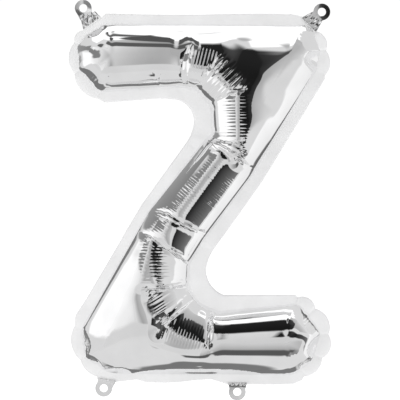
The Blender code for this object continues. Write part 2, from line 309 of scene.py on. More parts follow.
FANS = (
    Fan(
        (-17.9, -104.4),
        (5.0, 30.0, 64.0, 130.0),
        (
            Panel(14.0, 53.0, 36.3, 40.0, 70.0, 0.1, 3.2),
            Panel(47.0, 54.0, 37.5, 28.0, 71.0, 0.24, 4.6),
            Panel(91.0, 55.0, 37.5, 34.0, 64.0, 0.14, 3.0),
        ),
        61.0,
    ),
    Fan(
        (12.0, -263.0),
        (185.0, 232.0, 265.0, 306.0),
        (
            Panel(199.0, 84.0, 38.8, 42.0, 69.0, 0.07, 2.9, 0.0, 0.1),
            Panel(238.0, 84.0, 38.8, 40.0, 66.0, 0.1, 3.0, 0.0, 0.1),
            Panel(270.0, 64.0, 37.0, 44.0, 72.0, 0.17, 3.0, 58.5, 0.17),
        ),
    ),
)

HATCHES = (
    Hatch(((13.7, -140.0), (-9.4, -170.0)), 3.5, 0.08),
    Hatch(((-9.4, -170.0), (-36.0, -204.0)), 7.0, 0.16),
    Hatch(((-17.0, -166.0), (-42.0, -198.0)), 5.0, 0.1, 2.4),
    Hatch(((26.0, -166.0), (8.6, -188.0)), 7.0, 0.12, 2.2),
    Hatch(((8.6, -183.9), (-9.7, -207.7)), 4.0, 0.08, 2.4),
    Hatch(((20.0, -146.0), (-26.0, -206.0)), 3.0, 0.04),
    Hatch(((-38.0, -207.0), (-50.0, -224.0)), 9.0, 0.1, 2.4),
    Hatch(((16.0, -148.0), (6.0, -161.0)), 5.0, 0.08, 2.2),
)

FACETS = (
    Facet((-111.8, -24.1), (-98.2, -12.5), 9.0, 0.2, 0.12, 2.4),
    Facet((-118.6, -58.9), (-99.2, -81.2), 9.0, 0.2, 0.3, 3.0),
    Facet((97.2, -26.0), (112.7, -38.6), 9.0, 0.2, 0.2, 2.6),
    Facet((112.7, -40.5), (106.8, -58.9), 12.0, 0.65, 0.1, 3.0),
    Facet((98.1, -292.1), (115.6, -314.3), 9.0, 0.2, 0.3, 3.2),
    Facet((115.6, -315.3), (102.0, -333.7), 8.0, 0.65, 0.1, 3.0),
    Facet((95.2, -349.1), (111.7, -336.6), 9.0, 0.2, 0.25, 2.6),
    Facet((-118.6, -306.6), (-110.8, -332.7), 8.0, 0.2, 0.25, 3.2),
    Facet((-111.8, -332.7), (-98.2, -352.0), 8.0, 0.2, 0.25, 2.6),
    Facet((-99.2, -354.0), (-68.3, -350.1), 8.0, 0.65, 0.08, 3.0),
    Facet((-68.3, -351.1), (57.5, -352.0), 7.0, 0.65, 0.05, 3.0),
)

HIPS = (
    Hip(((104.0, -34.0), (72.0, -52.0), (52.0, -66.0))),
    Hip(((-108.0, -332.0), (-78.0, -314.0), (-56.0, -302.0)), 0.4),
)

LEANS = (
    Lean(((30.0, -136.0), (-46.0, -236.0)), -0.11),
    Lean(((-112.0, -47.0), (-24.0, -47.0)), 0.09),
    Lean(((14.0, -318.0), (112.0, -318.0)), 0.06),
)

END_PUCKERS = (
    EndPucker((113.6, -48.3)),
    EndPucker((104.0, -29.0)),
    EndPucker((-118.5, -48.3)),
    EndPucker((-113.7, -29.0)),
    EndPucker((-113.7, -82.1)),
    EndPucker((-123.4, -309.5)),
    EndPucker((-108.9, -333.6)),
    EndPucker((113.6, -309.5)),
    EndPucker((94.3, -280.4)),
    EndPucker((94.3, -343.3)),
)


def unit(vector: np.ndarray) -> np.ndarray:
    """Return a plane vector with the length one."""
    return vector / np.hypot(*vector)


def eased(values: np.ndarray, low: float, high: float) -> np.ndarray:
    """Return values turned into a smooth step from 0 at low to 1 at high."""
    share = np.clip((values - low) / (high - low), 0.0, 1.0)
    return share * share * (3.0 - 2.0 * share)


def filleted_loop(corners: Sequence[tuple], step: float) -> np.ndarray:
    """Return the closed outline of a polygon with rounded corners.

    Args:
        corners: Corners as x, z and fillet radius.
        step: Wanted distance between points on a fillet.

    Returns:
        The outline's points, one row each.
    """
    points = []
    count = len(corners)
    for index, (x, z, radius) in enumerate(corners):
        corner = np.array((x, z))
        before = np.array(corners[index - 1][:2]) - corner
        after = np.array(corners[(index + 1) % count][:2]) - corner
        room = min(np.hypot(*before), np.hypot(*after)) / 2.0
        before, after = unit(before), unit(after)
        half_corner = math.acos(max(-1.0, min(1.0, float(before @ after)))) / 2.0
        tangent = min(radius / math.tan(half_corner), room)
        radius = tangent * math.tan(half_corner)
        start, end = corner + before * tangent, corner + after * tangent
        centre = corner + unit(before + after) * math.hypot(radius, tangent)
        first = math.atan2(*(start - centre)[::-1])
        last = math.atan2(*(end - centre)[::-1])
        turn = (last - first + math.pi) % (2.0 * math.pi) - math.pi
        parts = max(1, round(abs(turn) * radius / step))
        for k in range(parts + 1):
            angle = first + turn * k / parts
            points.append(centre + radius * np.array((math.cos(angle), math.sin(angle))))
    return np.array(points)


def even_loop(points: np.ndarray, step: float) -> np.ndarray:
    """Spread the points of a closed outline at even distances.

    Args:
        points: The outline's points, one row each.
        step: Wanted distance between points.

    Returns:
        The new points.
    """
    closed = np.vstack([points, points[:1]])
    lengths = np.hypot(*np.diff(closed, axis=0).T)
    along = np.concatenate([[0.0], np.cumsum(lengths)])
    count = round(along[-1] / step)
    wanted = along[-1] * np.arange(count) / count
    return np.stack([np.interp(wanted, along, closed[:, k]) for k in (0, 1)], axis=1)


def dense_loop(corners: Sequence[tuple]) -> np.ndarray:
    """Return a rounded outline as close points at even distances."""
    return even_loop(filleted_loop(corners, FILLET_STEP), LOOP_STEP)


def lattice_points(low: np.ndarray, pitch: float, columns: int, rows: int) -> np.ndarray:
    """Return the plan points (x, z) of a square lattice that starts at its low corner."""
    x, z = np.meshgrid(low[0] + pitch * np.arange(columns), low[1] + pitch * np.arange(rows))
    return np.stack([x, z], axis=2)


def line_frame(line: Sequence[tuple]) -> tuple:
    """Measure a line.

    Args:
        line: Points (x, z) along the line.

    Returns:
        Its start, its direction, the direction to its left, and its length.
    """
    start, end = np.array(line[0]), np.array(line[-1])
    axis = unit(end - start)
    return start, axis, np.array((-axis[1], axis[0])), np.hypot(*(end - start))


def is_inside(plan: np.ndarray, loop: np.ndarray) -> np.ndarray:
    """Tell which plan points are inside a closed loop.

    Args:
        plan: Plan points (x, z).
        loop: The loop's points, one row each.

    Returns:
        Whether each point is inside.
    """
    x, z = plan[..., 0], plan[..., 1]
    inside = np.zeros(x.shape, bool)
    for (x0, z0), (x1, z1) in zip(loop, np.roll(loop, -1, axis=0)):
        if z0 != z1:
            crossing = x0 + (z - z0) * (x1 - x0) / (z1 - z0)
            inside ^= ((z0 > z) != (z1 > z)) & (x < crossing)
    return inside


def distance_to_line(plan: np.ndarray, line: Sequence[tuple]) -> np.ndarray:
    """Measure the distance from plan points to a line of straight stretches.

    Args:
        plan: Plan points (x, z).
        line: Points (x, z) along the line.

    Returns:
        Each point's distance.
    """
    nearest = np.full(plan.shape[:-1], np.inf)
    corners = [np.array(point, float) for point in line]
    for start, end in zip(corners[:-1], corners[1:]):
        stretch = end - start
        share = np.clip((plan - start) @ stretch / (stretch @ stretch), 0.0, 1.0)
        away = plan - start - share[..., None] * stretch
        nearest = np.minimum(nearest, np.hypot(away[..., 0], away[..., 1]))
    return nearest


def nearest_on_loop(plan: np.ndarray, loop: np.ndarray, wanted: np.ndarray) -> np.ndarray:
    """Find the nearest point of a loop for the wanted plan points.

    Args:
        plan: Plan points (x, z) on a lattice.
        loop: The loop's points, one row each.
        wanted: Which plan points are asked for.

    Returns:
        The index of the nearest loop point, and 0 where none is asked for.
    """
    tree = KDTree(len(loop))
    for index, (x, z) in enumerate(loop):
        tree.insert((x, z, 0.0), index)
    tree.balance()
    nearest = np.zeros(wanted.shape, int)
    nearest[wanted] = [tree.find((x, z, 0.0))[1] for x, z in plan[wanted]]
    return nearest


def distance_to_loop(plan: np.ndarray, loop: np.ndarray, wanted: np.ndarray) -> np.ndarray:
    """Return the distance from each wanted plan point to a dense loop, and 0 elsewhere."""
    away = loop[nearest_on_loop(plan, loop, wanted)] - plan
    return np.hypot(away[..., 0], away[..., 1]) * wanted


def sampled(values: np.ndarray, rows: np.ndarray, columns: np.ndarray) -> np.ndarray:
    """Blend lattice values straight between the lattice's points.

    Args:
        values: Values on the lattice.
        rows: Wanted places, counted in rows.
        columns: Wanted places, counted in columns.

    Returns:
        The value at each place.
    """
    rows = np.clip(rows, 0.0, values.shape[0] - LAST_CELL)
    columns = np.clip(columns, 0.0, values.shape[1] - LAST_CELL)
    i, j = rows.astype(int), columns.astype(int)
    a, b = rows - i, columns - j
    low = (1.0 - b) * values[i, j] + b * values[i, j + 1]
    high = (1.0 - b) * values[i + 1, j] + b * values[i + 1, j + 1]
    return (1.0 - a) * low + a * high


def doubled(values: np.ndarray, shape: tuple) -> np.ndarray:
    """Return a coarse lattice's values on the lattice of half its pitch."""
    rows, columns = np.indices(shape) / 2.0
    return sampled(values, rows, columns)


def neighbour_mean(values: np.ndarray) -> np.ndarray:
    """Average the four neighbours of each lattice point.

    Args:
        values: One or more lattices of values.

    Returns:
        The means, and 0 on the rim.
    """
    mean = np.zeros_like(values)
    level = values[..., 1:-1, 2:] + values[..., 1:-1, :-2]
    mean[..., 1:-1, 1:-1] = 0.25 * (level + values[..., 2:, 1:-1] + values[..., :-2, 1:-1])
    return mean


def softened(values: np.ndarray, rounds: int, moved: np.ndarray | bool) -> np.ndarray:
    """Smooth lattice values towards their neighbours' mean.

    Args:
        values: One or more lattices of values.
        rounds: How often they are smoothed.
        moved: Which points are smoothed, or True for all of them.

    Returns:
        The smoothed values.
    """
    for _ in range(rounds):
        values = np.where(moved, 0.5 * values + 0.5 * neighbour_mean(values), values)
    return values


def pressed_field(inside: np.ndarray, pitch: float) -> np.ndarray:
    """Return the field with Laplacian -1 inside the seam line and 0 outside it.

    Half the square of a round tube's height is such a field, so the root of twice the field
    is the height of a film under air pressure.

    Args:
        inside: Which lattice points are inside.
        pitch: Distance between lattice points.

    Returns:
        The field on the lattice.
    """
    values, sweeps = np.zeros(inside.shape), COARSE_SWEEPS
    if min(inside.shape) > COARSE_SIDE:
        values = doubled(pressed_field(inside[::2, ::2], pitch * 2.0), inside.shape) * inside
        sweeps = FINE_SWEEPS
    odd = np.indices(inside.shape).sum(axis=0) % 2 == 1
    width = inside.shape[1]
    flat = values.ravel()
    halves = [np.flatnonzero(inside & odd), np.flatnonzero(inside & ~odd)]
    for _ in range(sweeps):
        for cells in halves:
            around = flat[cells - 1] + flat[cells + 1] + flat[cells - width] + flat[cells + width]
            flat[cells] += OVERSHOOT * ((around + pitch * pitch) / 4.0 - flat[cells])
    return flat.reshape(inside.shape)


@dataclass
class FilmLattice:
    """A square lattice of points that is bent over the blown-up letter, in millimetres.

    Attributes:
        pitch: Distance between neighbouring points before they are bent.
        border: Empty border round the seam, in pitches.
        stroke_radius: Radius of the round strokes.
        even_share: Share of that radius over which rows are evened along the bent film.
        crown_radius: Radius used for the rise of the film next to the seam.
        field_border: Empty border round the strokes, in steps of the pressed field.
        rim: Distance from the seam within which the pressed field is too coarse to use.
        rim_rounds: How many rows its values are carried on towards the seam.
        rim_smoothing: How often they are then smoothed.
        handover: Distances from the seam between which the pressed field takes over.
        flattening: How much the wide corners stay below a free bubble.
        blend: Height over which that flattening sets in.
        low_film: Height below which it fades again.
        roof_reach: Distance from the seam at which the slopes of a wide corner would end.
        roof_height: Height that those slopes would reach there.
        roof_softness: How far the ridge between them is rounded.
        roof_foot: Distances from the seam between which that rounding sets in.
        lean_ease: How far the ends of a leaning stroke are eased, to either side.
        panel_border: Distances from a bend's middle between which panel borders turn soft.
        panel_softness: How often those soft borders are smoothed.
        panel_bow: Bow of the panels beyond their crown, as twice its radius.
        panel_fade: Distance over which the panels fade out.
        end_power: Power of the rise at the closed ends.
        seam: Dense points of the seam line.
        inside: Which lattice points are inside the seam line.
        free: Which of them may move.
        depth: Their distance from the seam in plan.
        arc: Their distance from the seam over the bent film.
        along: Direction of the seam next to them.
        plan: Their plan places (x, z).
        film: Their places as x, y and z lattices.
    """

    pitch: float = 0.75
    border: float = 3.0
    stroke_radius: float = 33.0
    even_share: float = 0.9
    crown_radius: float = 36.0
    field_border: int = 8
    rim: float = 3.5
    rim_rounds: int = 8
    rim_smoothing: int = 4
    handover: tuple = (12.0, 20.0)
    flattening: float = 0.4
    blend: float = 4.0
    low_film: float = 20.0
    roof_reach: float = 56.0
    roof_height: float = 37.0
    roof_softness: float = 24.0
    roof_foot: tuple = (8.0, 16.0)
    lean_ease: float = 7.0
    panel_border: tuple = (54.0, 66.0)
    panel_softness: int = 180
    panel_bow: float = 250.0
    panel_fade: float = 24.0
    end_power: float = 2.2
    seam: np.ndarray = field(init=False)
    inside: np.ndarray = field(init=False)
    free: np.ndarray = field(init=False)
    depth: np.ndarray = field(init=False)
    arc: np.ndarray = field(init=False)
    along: np.ndarray = field(init=False)
    plan: np.ndarray = field(init=False)
    film: np.ndarray = field(init=False)

    def __post_init__(self) -> None:
        """Lay the lattice, bend its rows and lift it to the blown-up height."""
        self.seam = dense_loop(SEAM_CORNERS_MM)
        low = self.seam.min(axis=0) - self.border * self.pitch
        high = self.seam.max(axis=0) + self.border * self.pitch
        columns, rows = ((high - low) / self.pitch).astype(int) + 1
        flat_plan = lattice_points(low, self.pitch, columns, rows)
        self.inside = is_inside(flat_plan, self.seam)
        self.free = self._away_from_rim()
        nearest = nearest_on_loop(flat_plan, self.seam, self.inside)
        outward = self.seam[nearest] - flat_plan
        to_seam = np.hypot(outward[..., 0], outward[..., 1])
        outward /= np.maximum(to_seam, TINY)[..., None]
        self.depth = self._bent_depth(np.where(self.free, to_seam, 0.0))
        moved = to_seam - self.depth
        self.plan = flat_plan + outward * moved[..., None] * self.inside[..., None]
        self.plan[self.inside & ~self.free] = self.seam[nearest][self.inside & ~self.free]
        following = np.roll(self.seam, -2, axis=0) - np.roll(self.seam, 2, axis=0)
        following /= np.hypot(*following.T)[:, None]
        self.along = following[nearest]
        near = np.clip(self.depth, 0.0, self.stroke_radius)
        turned = np.arccos(np.clip(1.0 - near / self.stroke_radius, -1.0, 1.0))
        self.arc = self.stroke_radius * turned
        self.film = np.stack([self.plan[..., 0], -self._height(), self.plan[..., 1]])

    def _away_from_rim(self) -> np.ndarray:
        """Tell which points have all their eight neighbours inside the seam line.

        Returns:
            Whether each lattice point is one of them.
        """
        free = self.inside.copy()
        for rows in (-1, 0, 1):
            for columns in (-1, 0, 1):
                free &= np.roll(self.inside, (rows, columns), (0, 1))
        return free

    def _bent_depth(self, flat_depth: np.ndarray) -> np.ndarray:
        """Even the rows of the lattice along the bent film.

        Args:
            flat_depth: Distance from the seam on the unbent lattice.

        Returns:
            The distance from the seam in plan, once bent.
        """
        cap = self.even_share * self.stroke_radius
        share = np.clip(flat_depth / cap, 0.0, 1.0)
        return np.where(flat_depth < cap, cap * (1.0 - np.cos(0.5 * np.pi * share)), flat_depth)

    def _tube_height(self, outline: np.ndarray, stroke_depth: np.ndarray) -> np.ndarray:
        """Blow the film up to a free bubble.

        Args:
            outline: Dense outline of the strokes, run on past their closed ends.
            stroke_depth: Distance of each lattice point from that outline.

        Returns:
            The bubble's height at the bent points.
        """
        pitch = 2.0 * self.pitch
        low = outline.min(axis=0) - self.field_border * pitch
        size = (outline.max(axis=0) - low) / pitch
        columns, rows = size.astype(int) + self.field_border + 1
        cells = lattice_points(low, pitch, columns, rows)
        inside = is_inside(cells, outline)
        depth = distance_to_loop(cells, outline, inside)
        pressed = pressed_field(inside, pitch)
        ring = depth * (2.0 * self.crown_radius - depth)
        fullness = np.where(depth > self.rim, 2.0 * pressed / np.maximum(ring, TINY), 0.0)
        known = (depth > self.rim).astype(float)
        for _ in range(self.rim_rounds):
            spread, weight = neighbour_mean(fullness * known), neighbour_mean(known)
            fresh = (known == 0.0) & (weight > 0.0)
            fullness = np.where(fresh, spread / np.maximum(weight, TINY), fullness)
            known = np.maximum(known, fresh)
        fullness = softened(fullness, self.rim_smoothing, inside)
        place = ((self.plan[..., 1] - low[1]) / pitch, (self.plan[..., 0] - low[0]) / pitch)
        edge = sampled(fullness, *place) * stroke_depth * (2.0 * self.crown_radius - stroke_depth)
        middle = 2.0 * sampled(pressed, *place)
        share = 1.0 - eased(stroke_depth, *self.handover)
        return np.sqrt(np.maximum(share * edge + (1.0 - share) * middle, 0.0))

    def _height(self) -> np.ndarray:
        """Shape the whole film over the plan.

        Returns:
            The height at the bent points.
        """
        outline = dense_loop(STROKE_CORNERS_MM)
        stroke_depth = distance_to_loop(self.plan, outline, self.inside)
        height = self._tube_height(outline, stroke_depth)
        above = np.log1p(np.exp((height - self.stroke_radius) / self.blend))
        above = above * np.clip(height / self.low_film, 0.0, 1.0)
        height = height - self.flattening * self.blend * above
        roof = self._roof(stroke_depth)
        for hip in HIPS:
            away = distance_to_line(self.plan, hip.line)
            share = hip.share * (1.0 - eased(away, hip.reach, 2.0 * hip.reach))
            height = (1.0 - share) * height + share * roof
        height = self._with_panels(height + self._leaning(), stroke_depth)
        for rise, line in END_SEAMS_MM:
            left = np.clip(1.0 - distance_to_line(self.plan, line) / rise, 0.0, 1.0)
            height = height * np.sqrt(1.0 - left**self.end_power)
        return np.where(self.free, height, 0.0)

    def _leaning(self) -> np.ndarray:
        """Lean the straight strokes to one side.

        Returns:
            How far each point stands above or below its round section.
        """
        added = np.zeros(self.inside.shape)
        ease = self.lean_ease
        for lean in LEANS:
            start, axis, side, length = line_frame(lean.line)
            aside = ((self.plan - start) @ side) / lean.half_width
            along = (self.plan - start) @ axis
            share = eased(along, -ease, ease) * (1.0 - eased(along, length - ease, length + ease))
            bow = np.clip(1.0 - aside**2, 0.0, 1.0) ** 2
            added += share * lean.slope * lean.half_width * aside * bow
        return added

    def _with_panels(self, height: np.ndarray, stroke_depth: np.ndarray) -> np.ndarray:
        """Make the bends of flat-sided panels.

        Args:
            height: Height of the film without panels.
            stroke_depth: Distance of each point from the outline of the strokes.

        Returns:
            The height with the panels.
        """
        for fan in FANS:
            away = self.plan - np.array(fan.centre)
            radius = np.hypot(away[..., 0], away[..., 1])
            blend = eased(radius, *self.panel_border)
            shared, bent = np.zeros_like(height), np.zeros_like(height)
            for panel, here, along, across in fan.laid_out(self.plan):
                whole = np.maximum(stroke_depth + panel.crown - along, TINY)
                left = np.clip((panel.crown - along) / whole, 0.0, 1.0)
                beyond = np.maximum(along - panel.crown, 0.0)
                shape = (panel.rise - panel.slope * across) * np.sqrt(1.0 - left**2)
                shape = shape - beyond**2 / self.panel_bow
                here = here.astype(float)
                soft = softened(here, self.panel_softness, True)
                share = (1.0 - blend) * softened(here, 1, True) + blend * soft
                shared += share
                bent += share * shape
            fading = 1.0 - eased(radius, fan.reach, fan.reach + self.panel_fade)
            height = (1.0 - fading * shared) * height + fading * bent
        return height

    def _roof(self, stroke_depth: np.ndarray) -> np.ndarray:
        """Raise two long slopes that meet in a soft ridge.

        Args:
            stroke_depth: Distance of each point from the outline of the strokes.

        Returns:
            The slopes' height.
        """
        soft = softened(stroke_depth, round(self.roof_softness / self.pitch), self.free)
        soft = stroke_depth + (soft - stroke_depth) * eased(stroke_depth, *self.roof_foot)
        left = 1.0 - np.clip(soft / self.roof_reach, 0.0, 1.0)
        return self.roof_height * np.sqrt(1.0 - left**2)

    def halved(self) -> "FilmLattice":
        """Take every second row and column.

        Returns:
            The lattice of twice the pitch.
        """
        coarse = object.__new__(FilmLattice)
        coarse.pitch = self.pitch * 2.0
        coarse.seam = self.seam
        for name in ("inside", "depth", "arc", "along", "plan"):
            setattr(coarse, name, getattr(self, name)[::2, ::2])
        coarse.free = coarse._away_from_rim()
        coarse.film = self.film[:, ::2, ::2].copy()
        return coarse


# How far ripples stray from even spacing, every how many millimetres, and over what distance.
RIPPLE_STRAY, RIPPLE_KNOT, RIPPLE_SPAN = 0.35, 4.0, 120.0
# Most ripples with a value of their own, and the sharpness, tip and lean of their crests.
RIPPLE_COUNT, RIPPLE_SHARPNESS, RIPPLE_TIP, RIPPLE_LEAN = 400, 1.5, 2.2, 0.4


def ripple(across: np.ndarray, spacing: float, seed: int) -> tuple[np.ndarray, np.ndarray]:
    """Return a slightly uneven row of leaning ripples, and a random value for each of them.

    Args:
        across: Distance across the ripples, in millimetres.
        spacing: Mean distance from ripple to ripple.
        seed: Seed of the unevenness.

    Returns:
        The ripples' height from -1 to 1, and each ripple's own value from -1 to 1.
    """
    rng = np.random.default_rng(seed)
    knots = np.arange(-RIPPLE_SPAN, RIPPLE_SPAN + 1.0, RIPPLE_KNOT)
    shift = np.interp(across, knots, rng.uniform(-RIPPLE_STRAY, RIPPLE_STRAY, len(knots)))
    phase = across / spacing + shift
    own = rng.uniform(-1.0, 1.0, RIPPLE_COUNT)[np.floor(phase).astype(int) % RIPPLE_COUNT]
    turn = 2.0 * np.pi * phase
    crest = np.cos(turn + RIPPLE_LEAN * np.sin(turn)) - 1.0
    return RIPPLE_TIP * np.exp(RIPPLE_SHARPNESS * crest) - 1.0, own


@dataclass
class Creasing:
    """Everything that creases the smooth film of a lattice, in millimetres.

    Attributes:
        folds: Depth of the pressed-in folds and facets.
        pleats: Height of the fine pleats.
        ends: Where the outer corners are gathered, 0 to 1.
    """

    folds: np.ndarray
    pleats: np.ndarray
    ends: np.ndarray

    # Seeds of the unevenness of each kind of pleat.
    PANEL_SEED, HATCH_SEED, FOLD_SEED, FACET_SEED = 40, 60, 80, 120
    # A panel's pleats: how far each starts and ends from its place, how much its height differs,
    # how far before and after the inner distance they rise, and over how far they end.
    START_SPREAD, END_SPREAD, HEIGHT_SPREAD = 5.0, 1.5, 0.35
    RISE_BEFORE, RISE_AFTER, FALL = 4.0, 12.0, 8.0
    # The calm middle of a panel: the share of its pleats left there, and where they are back.
    CALM_SHARE, CALM_BAND = 0.15, (1.0, 5.0)
    # How much the reach of a hatch's pleats differs, and the power with which they end.
    HATCH_SPREAD, HATCH_POWER = 0.3, 0.5
    # A fold: distance between its swings, half width of its sharp bottom, the share and reach of
    # its shallow sides, the most that its ends taper, in millimetres and as a share, and how far
    # they run on.
    SWING, BOTTOM, SIDE_SHARE, SIDE_REACH = 7.0, 0.5, 0.12, 4.0
    TAPER, TAPER_SHARE, TIP = 9.0, 0.3, 1.0
    # A facet: the power of its lens, and how soon its pleats are full.
    LENS_POWER, LENS_GAIN = 0.6, 2.0
    # Shares of a gathered place's reach between which it fades.
    GATHER_BAND = (0.7, 1.3)
    # Distances from the seam, over the film, between which the gathered ends calm down.
    END_BAND = (5.0, 22.0)

    @classmethod
    def of(cls, lattice: FilmLattice) -> "Creasing":
        """Crease one lattice.

        Args:
            lattice: The fine or the halved lattice.

        Returns:
            Its creasing.
        """
        made = cls(*(np.zeros(lattice.inside.shape) for _ in range(3)))
        made._pleat_panels(lattice.plan)
        made._pleat_hatches(lattice.plan)
        made._press_folds(lattice.plan)
        made._press_facets(lattice.plan, -lattice.film[1])
        made._gather_ends(lattice.plan, lattice.arc)
        return made

    def _pleat_panels(self, plan: np.ndarray) -> None:
        """Pleat the flat-sided panels of the bends.

        Args:
            plan: Plan points (x, z) on the lattice.
        """
        for fan in FANS:
            for index, (panel, here, along, across) in enumerate(fan.laid_out(plan)):
                wave, own = ripple(across, panel.spacing, self.PANEL_SEED + index)
                first, last = panel.inner - self.RISE_BEFORE, panel.inner + self.RISE_AFTER
                share = eased(along + self.START_SPREAD * own, first, last)
                past = along + self.END_SPREAD * own - panel.outer + self.FALL
                share = share * (1.0 - np.clip(past / self.FALL, 0.0, 1.0))
                if panel.calm:
                    back = eased(np.abs(along - panel.calm), *self.CALM_BAND)
                    share = share * (self.CALM_SHARE + (1.0 - self.CALM_SHARE) * back)
                uneven = 1.0 + self.HEIGHT_SPREAD * own
                self.pleats += here * share * panel.swell * uneven * wave

    def _pleat_hatches(self, plan: np.ndarray) -> None:
        """Pleat the strips along the strokes.

        Args:
            plan: Plan points (x, z) on the lattice.
        """
        for index, hatch in enumerate(HATCHES):
            start, axis, _, _ = line_frame(hatch.line)
            wave, own = ripple((plan - start) @ axis, hatch.spacing, self.HATCH_SEED + index)
            reach = hatch.width * (1.0 + self.HATCH_SPREAD * own)
            near = np.clip(1.0 - distance_to_line(plan, hatch.line) / reach, 0.0, 1.0)
            self.pleats += hatch.swell * near**self.HATCH_POWER * wave

    def _press_folds(self, plan: np.ndarray) -> None:
        """Press the folds across the strokes in.

        Args:
            plan: Plan points (x, z) on the lattice.
        """
        for index, fold in enumerate(FOLDS):
            start, axis, side, length = line_frame(fold.line)
            along = (plan - start) @ axis
            wave, _ = ripple(along, self.SWING, self.FOLD_SEED + index)
            aside = fold.wobble * wave[..., None] * side
            distance = distance_to_line(plan + aside, fold.line)
            walls = np.exp(-np.sqrt(distance**2 + self.BOTTOM**2) / fold.width)
            walls = walls + self.SIDE_SHARE * np.exp(-distance / self.SIDE_REACH)
            taper = min(self.TAPER, self.TAPER_SHARE * length)
            ends = eased(along, -self.TIP, taper)
            ends = ends * (1.0 - eased(along, length - taper, length + self.TIP))
            self.folds = np.maximum(self.folds, fold.depth * ends * walls)

    def _press_facets(self, plan: np.ndarray, height: np.ndarray) -> None:
        """Flatten and pleat the lenses at the rounded corners.

        Args:
            plan: Plan points (x, z) on the lattice.
            height: Height of the smooth film.
        """
        for index, facet in enumerate(FACETS):
            _, axis, side, length = line_frame((facet.start, facet.end))
            away = plan - (np.array(facet.start) + np.array(facet.end)) / 2.0
            along, aside = away @ axis, away @ side
            inset = 1.0 - (2.0 * along / length) ** 2 - (aside / facet.width) ** 2
            lens = np.clip(inset, 0.0, 1.0) ** self.LENS_POWER
            wave, _ = ripple(along, facet.spacing, self.FACET_SEED + index)
            self.folds = np.maximum(self.folds, facet.press * lens * height)
            self.pleats += facet.swell * np.minimum(self.LENS_GAIN * lens, 1.0) * wave

    def _gather_ends(self, plan: np.ndarray, arc: np.ndarray) -> None:
        """Mark where the outer corners are gathered.

        Args:
            plan: Plan points (x, z) on the lattice.
            arc: Their distance from the seam over the bent film.
        """
        for pucker in END_PUCKERS:
            away = plan - np.array(pucker.centre)
            distance = np.hypot(away[..., 0], away[..., 1])
            near = 1.0 - eased(distance, *(share * pucker.reach for share in self.GATHER_BAND))
            self.ends = np.maximum(self.ends, near)
        self.ends = self.ends * (1.0 - eased(arc, *self.END_BAND))


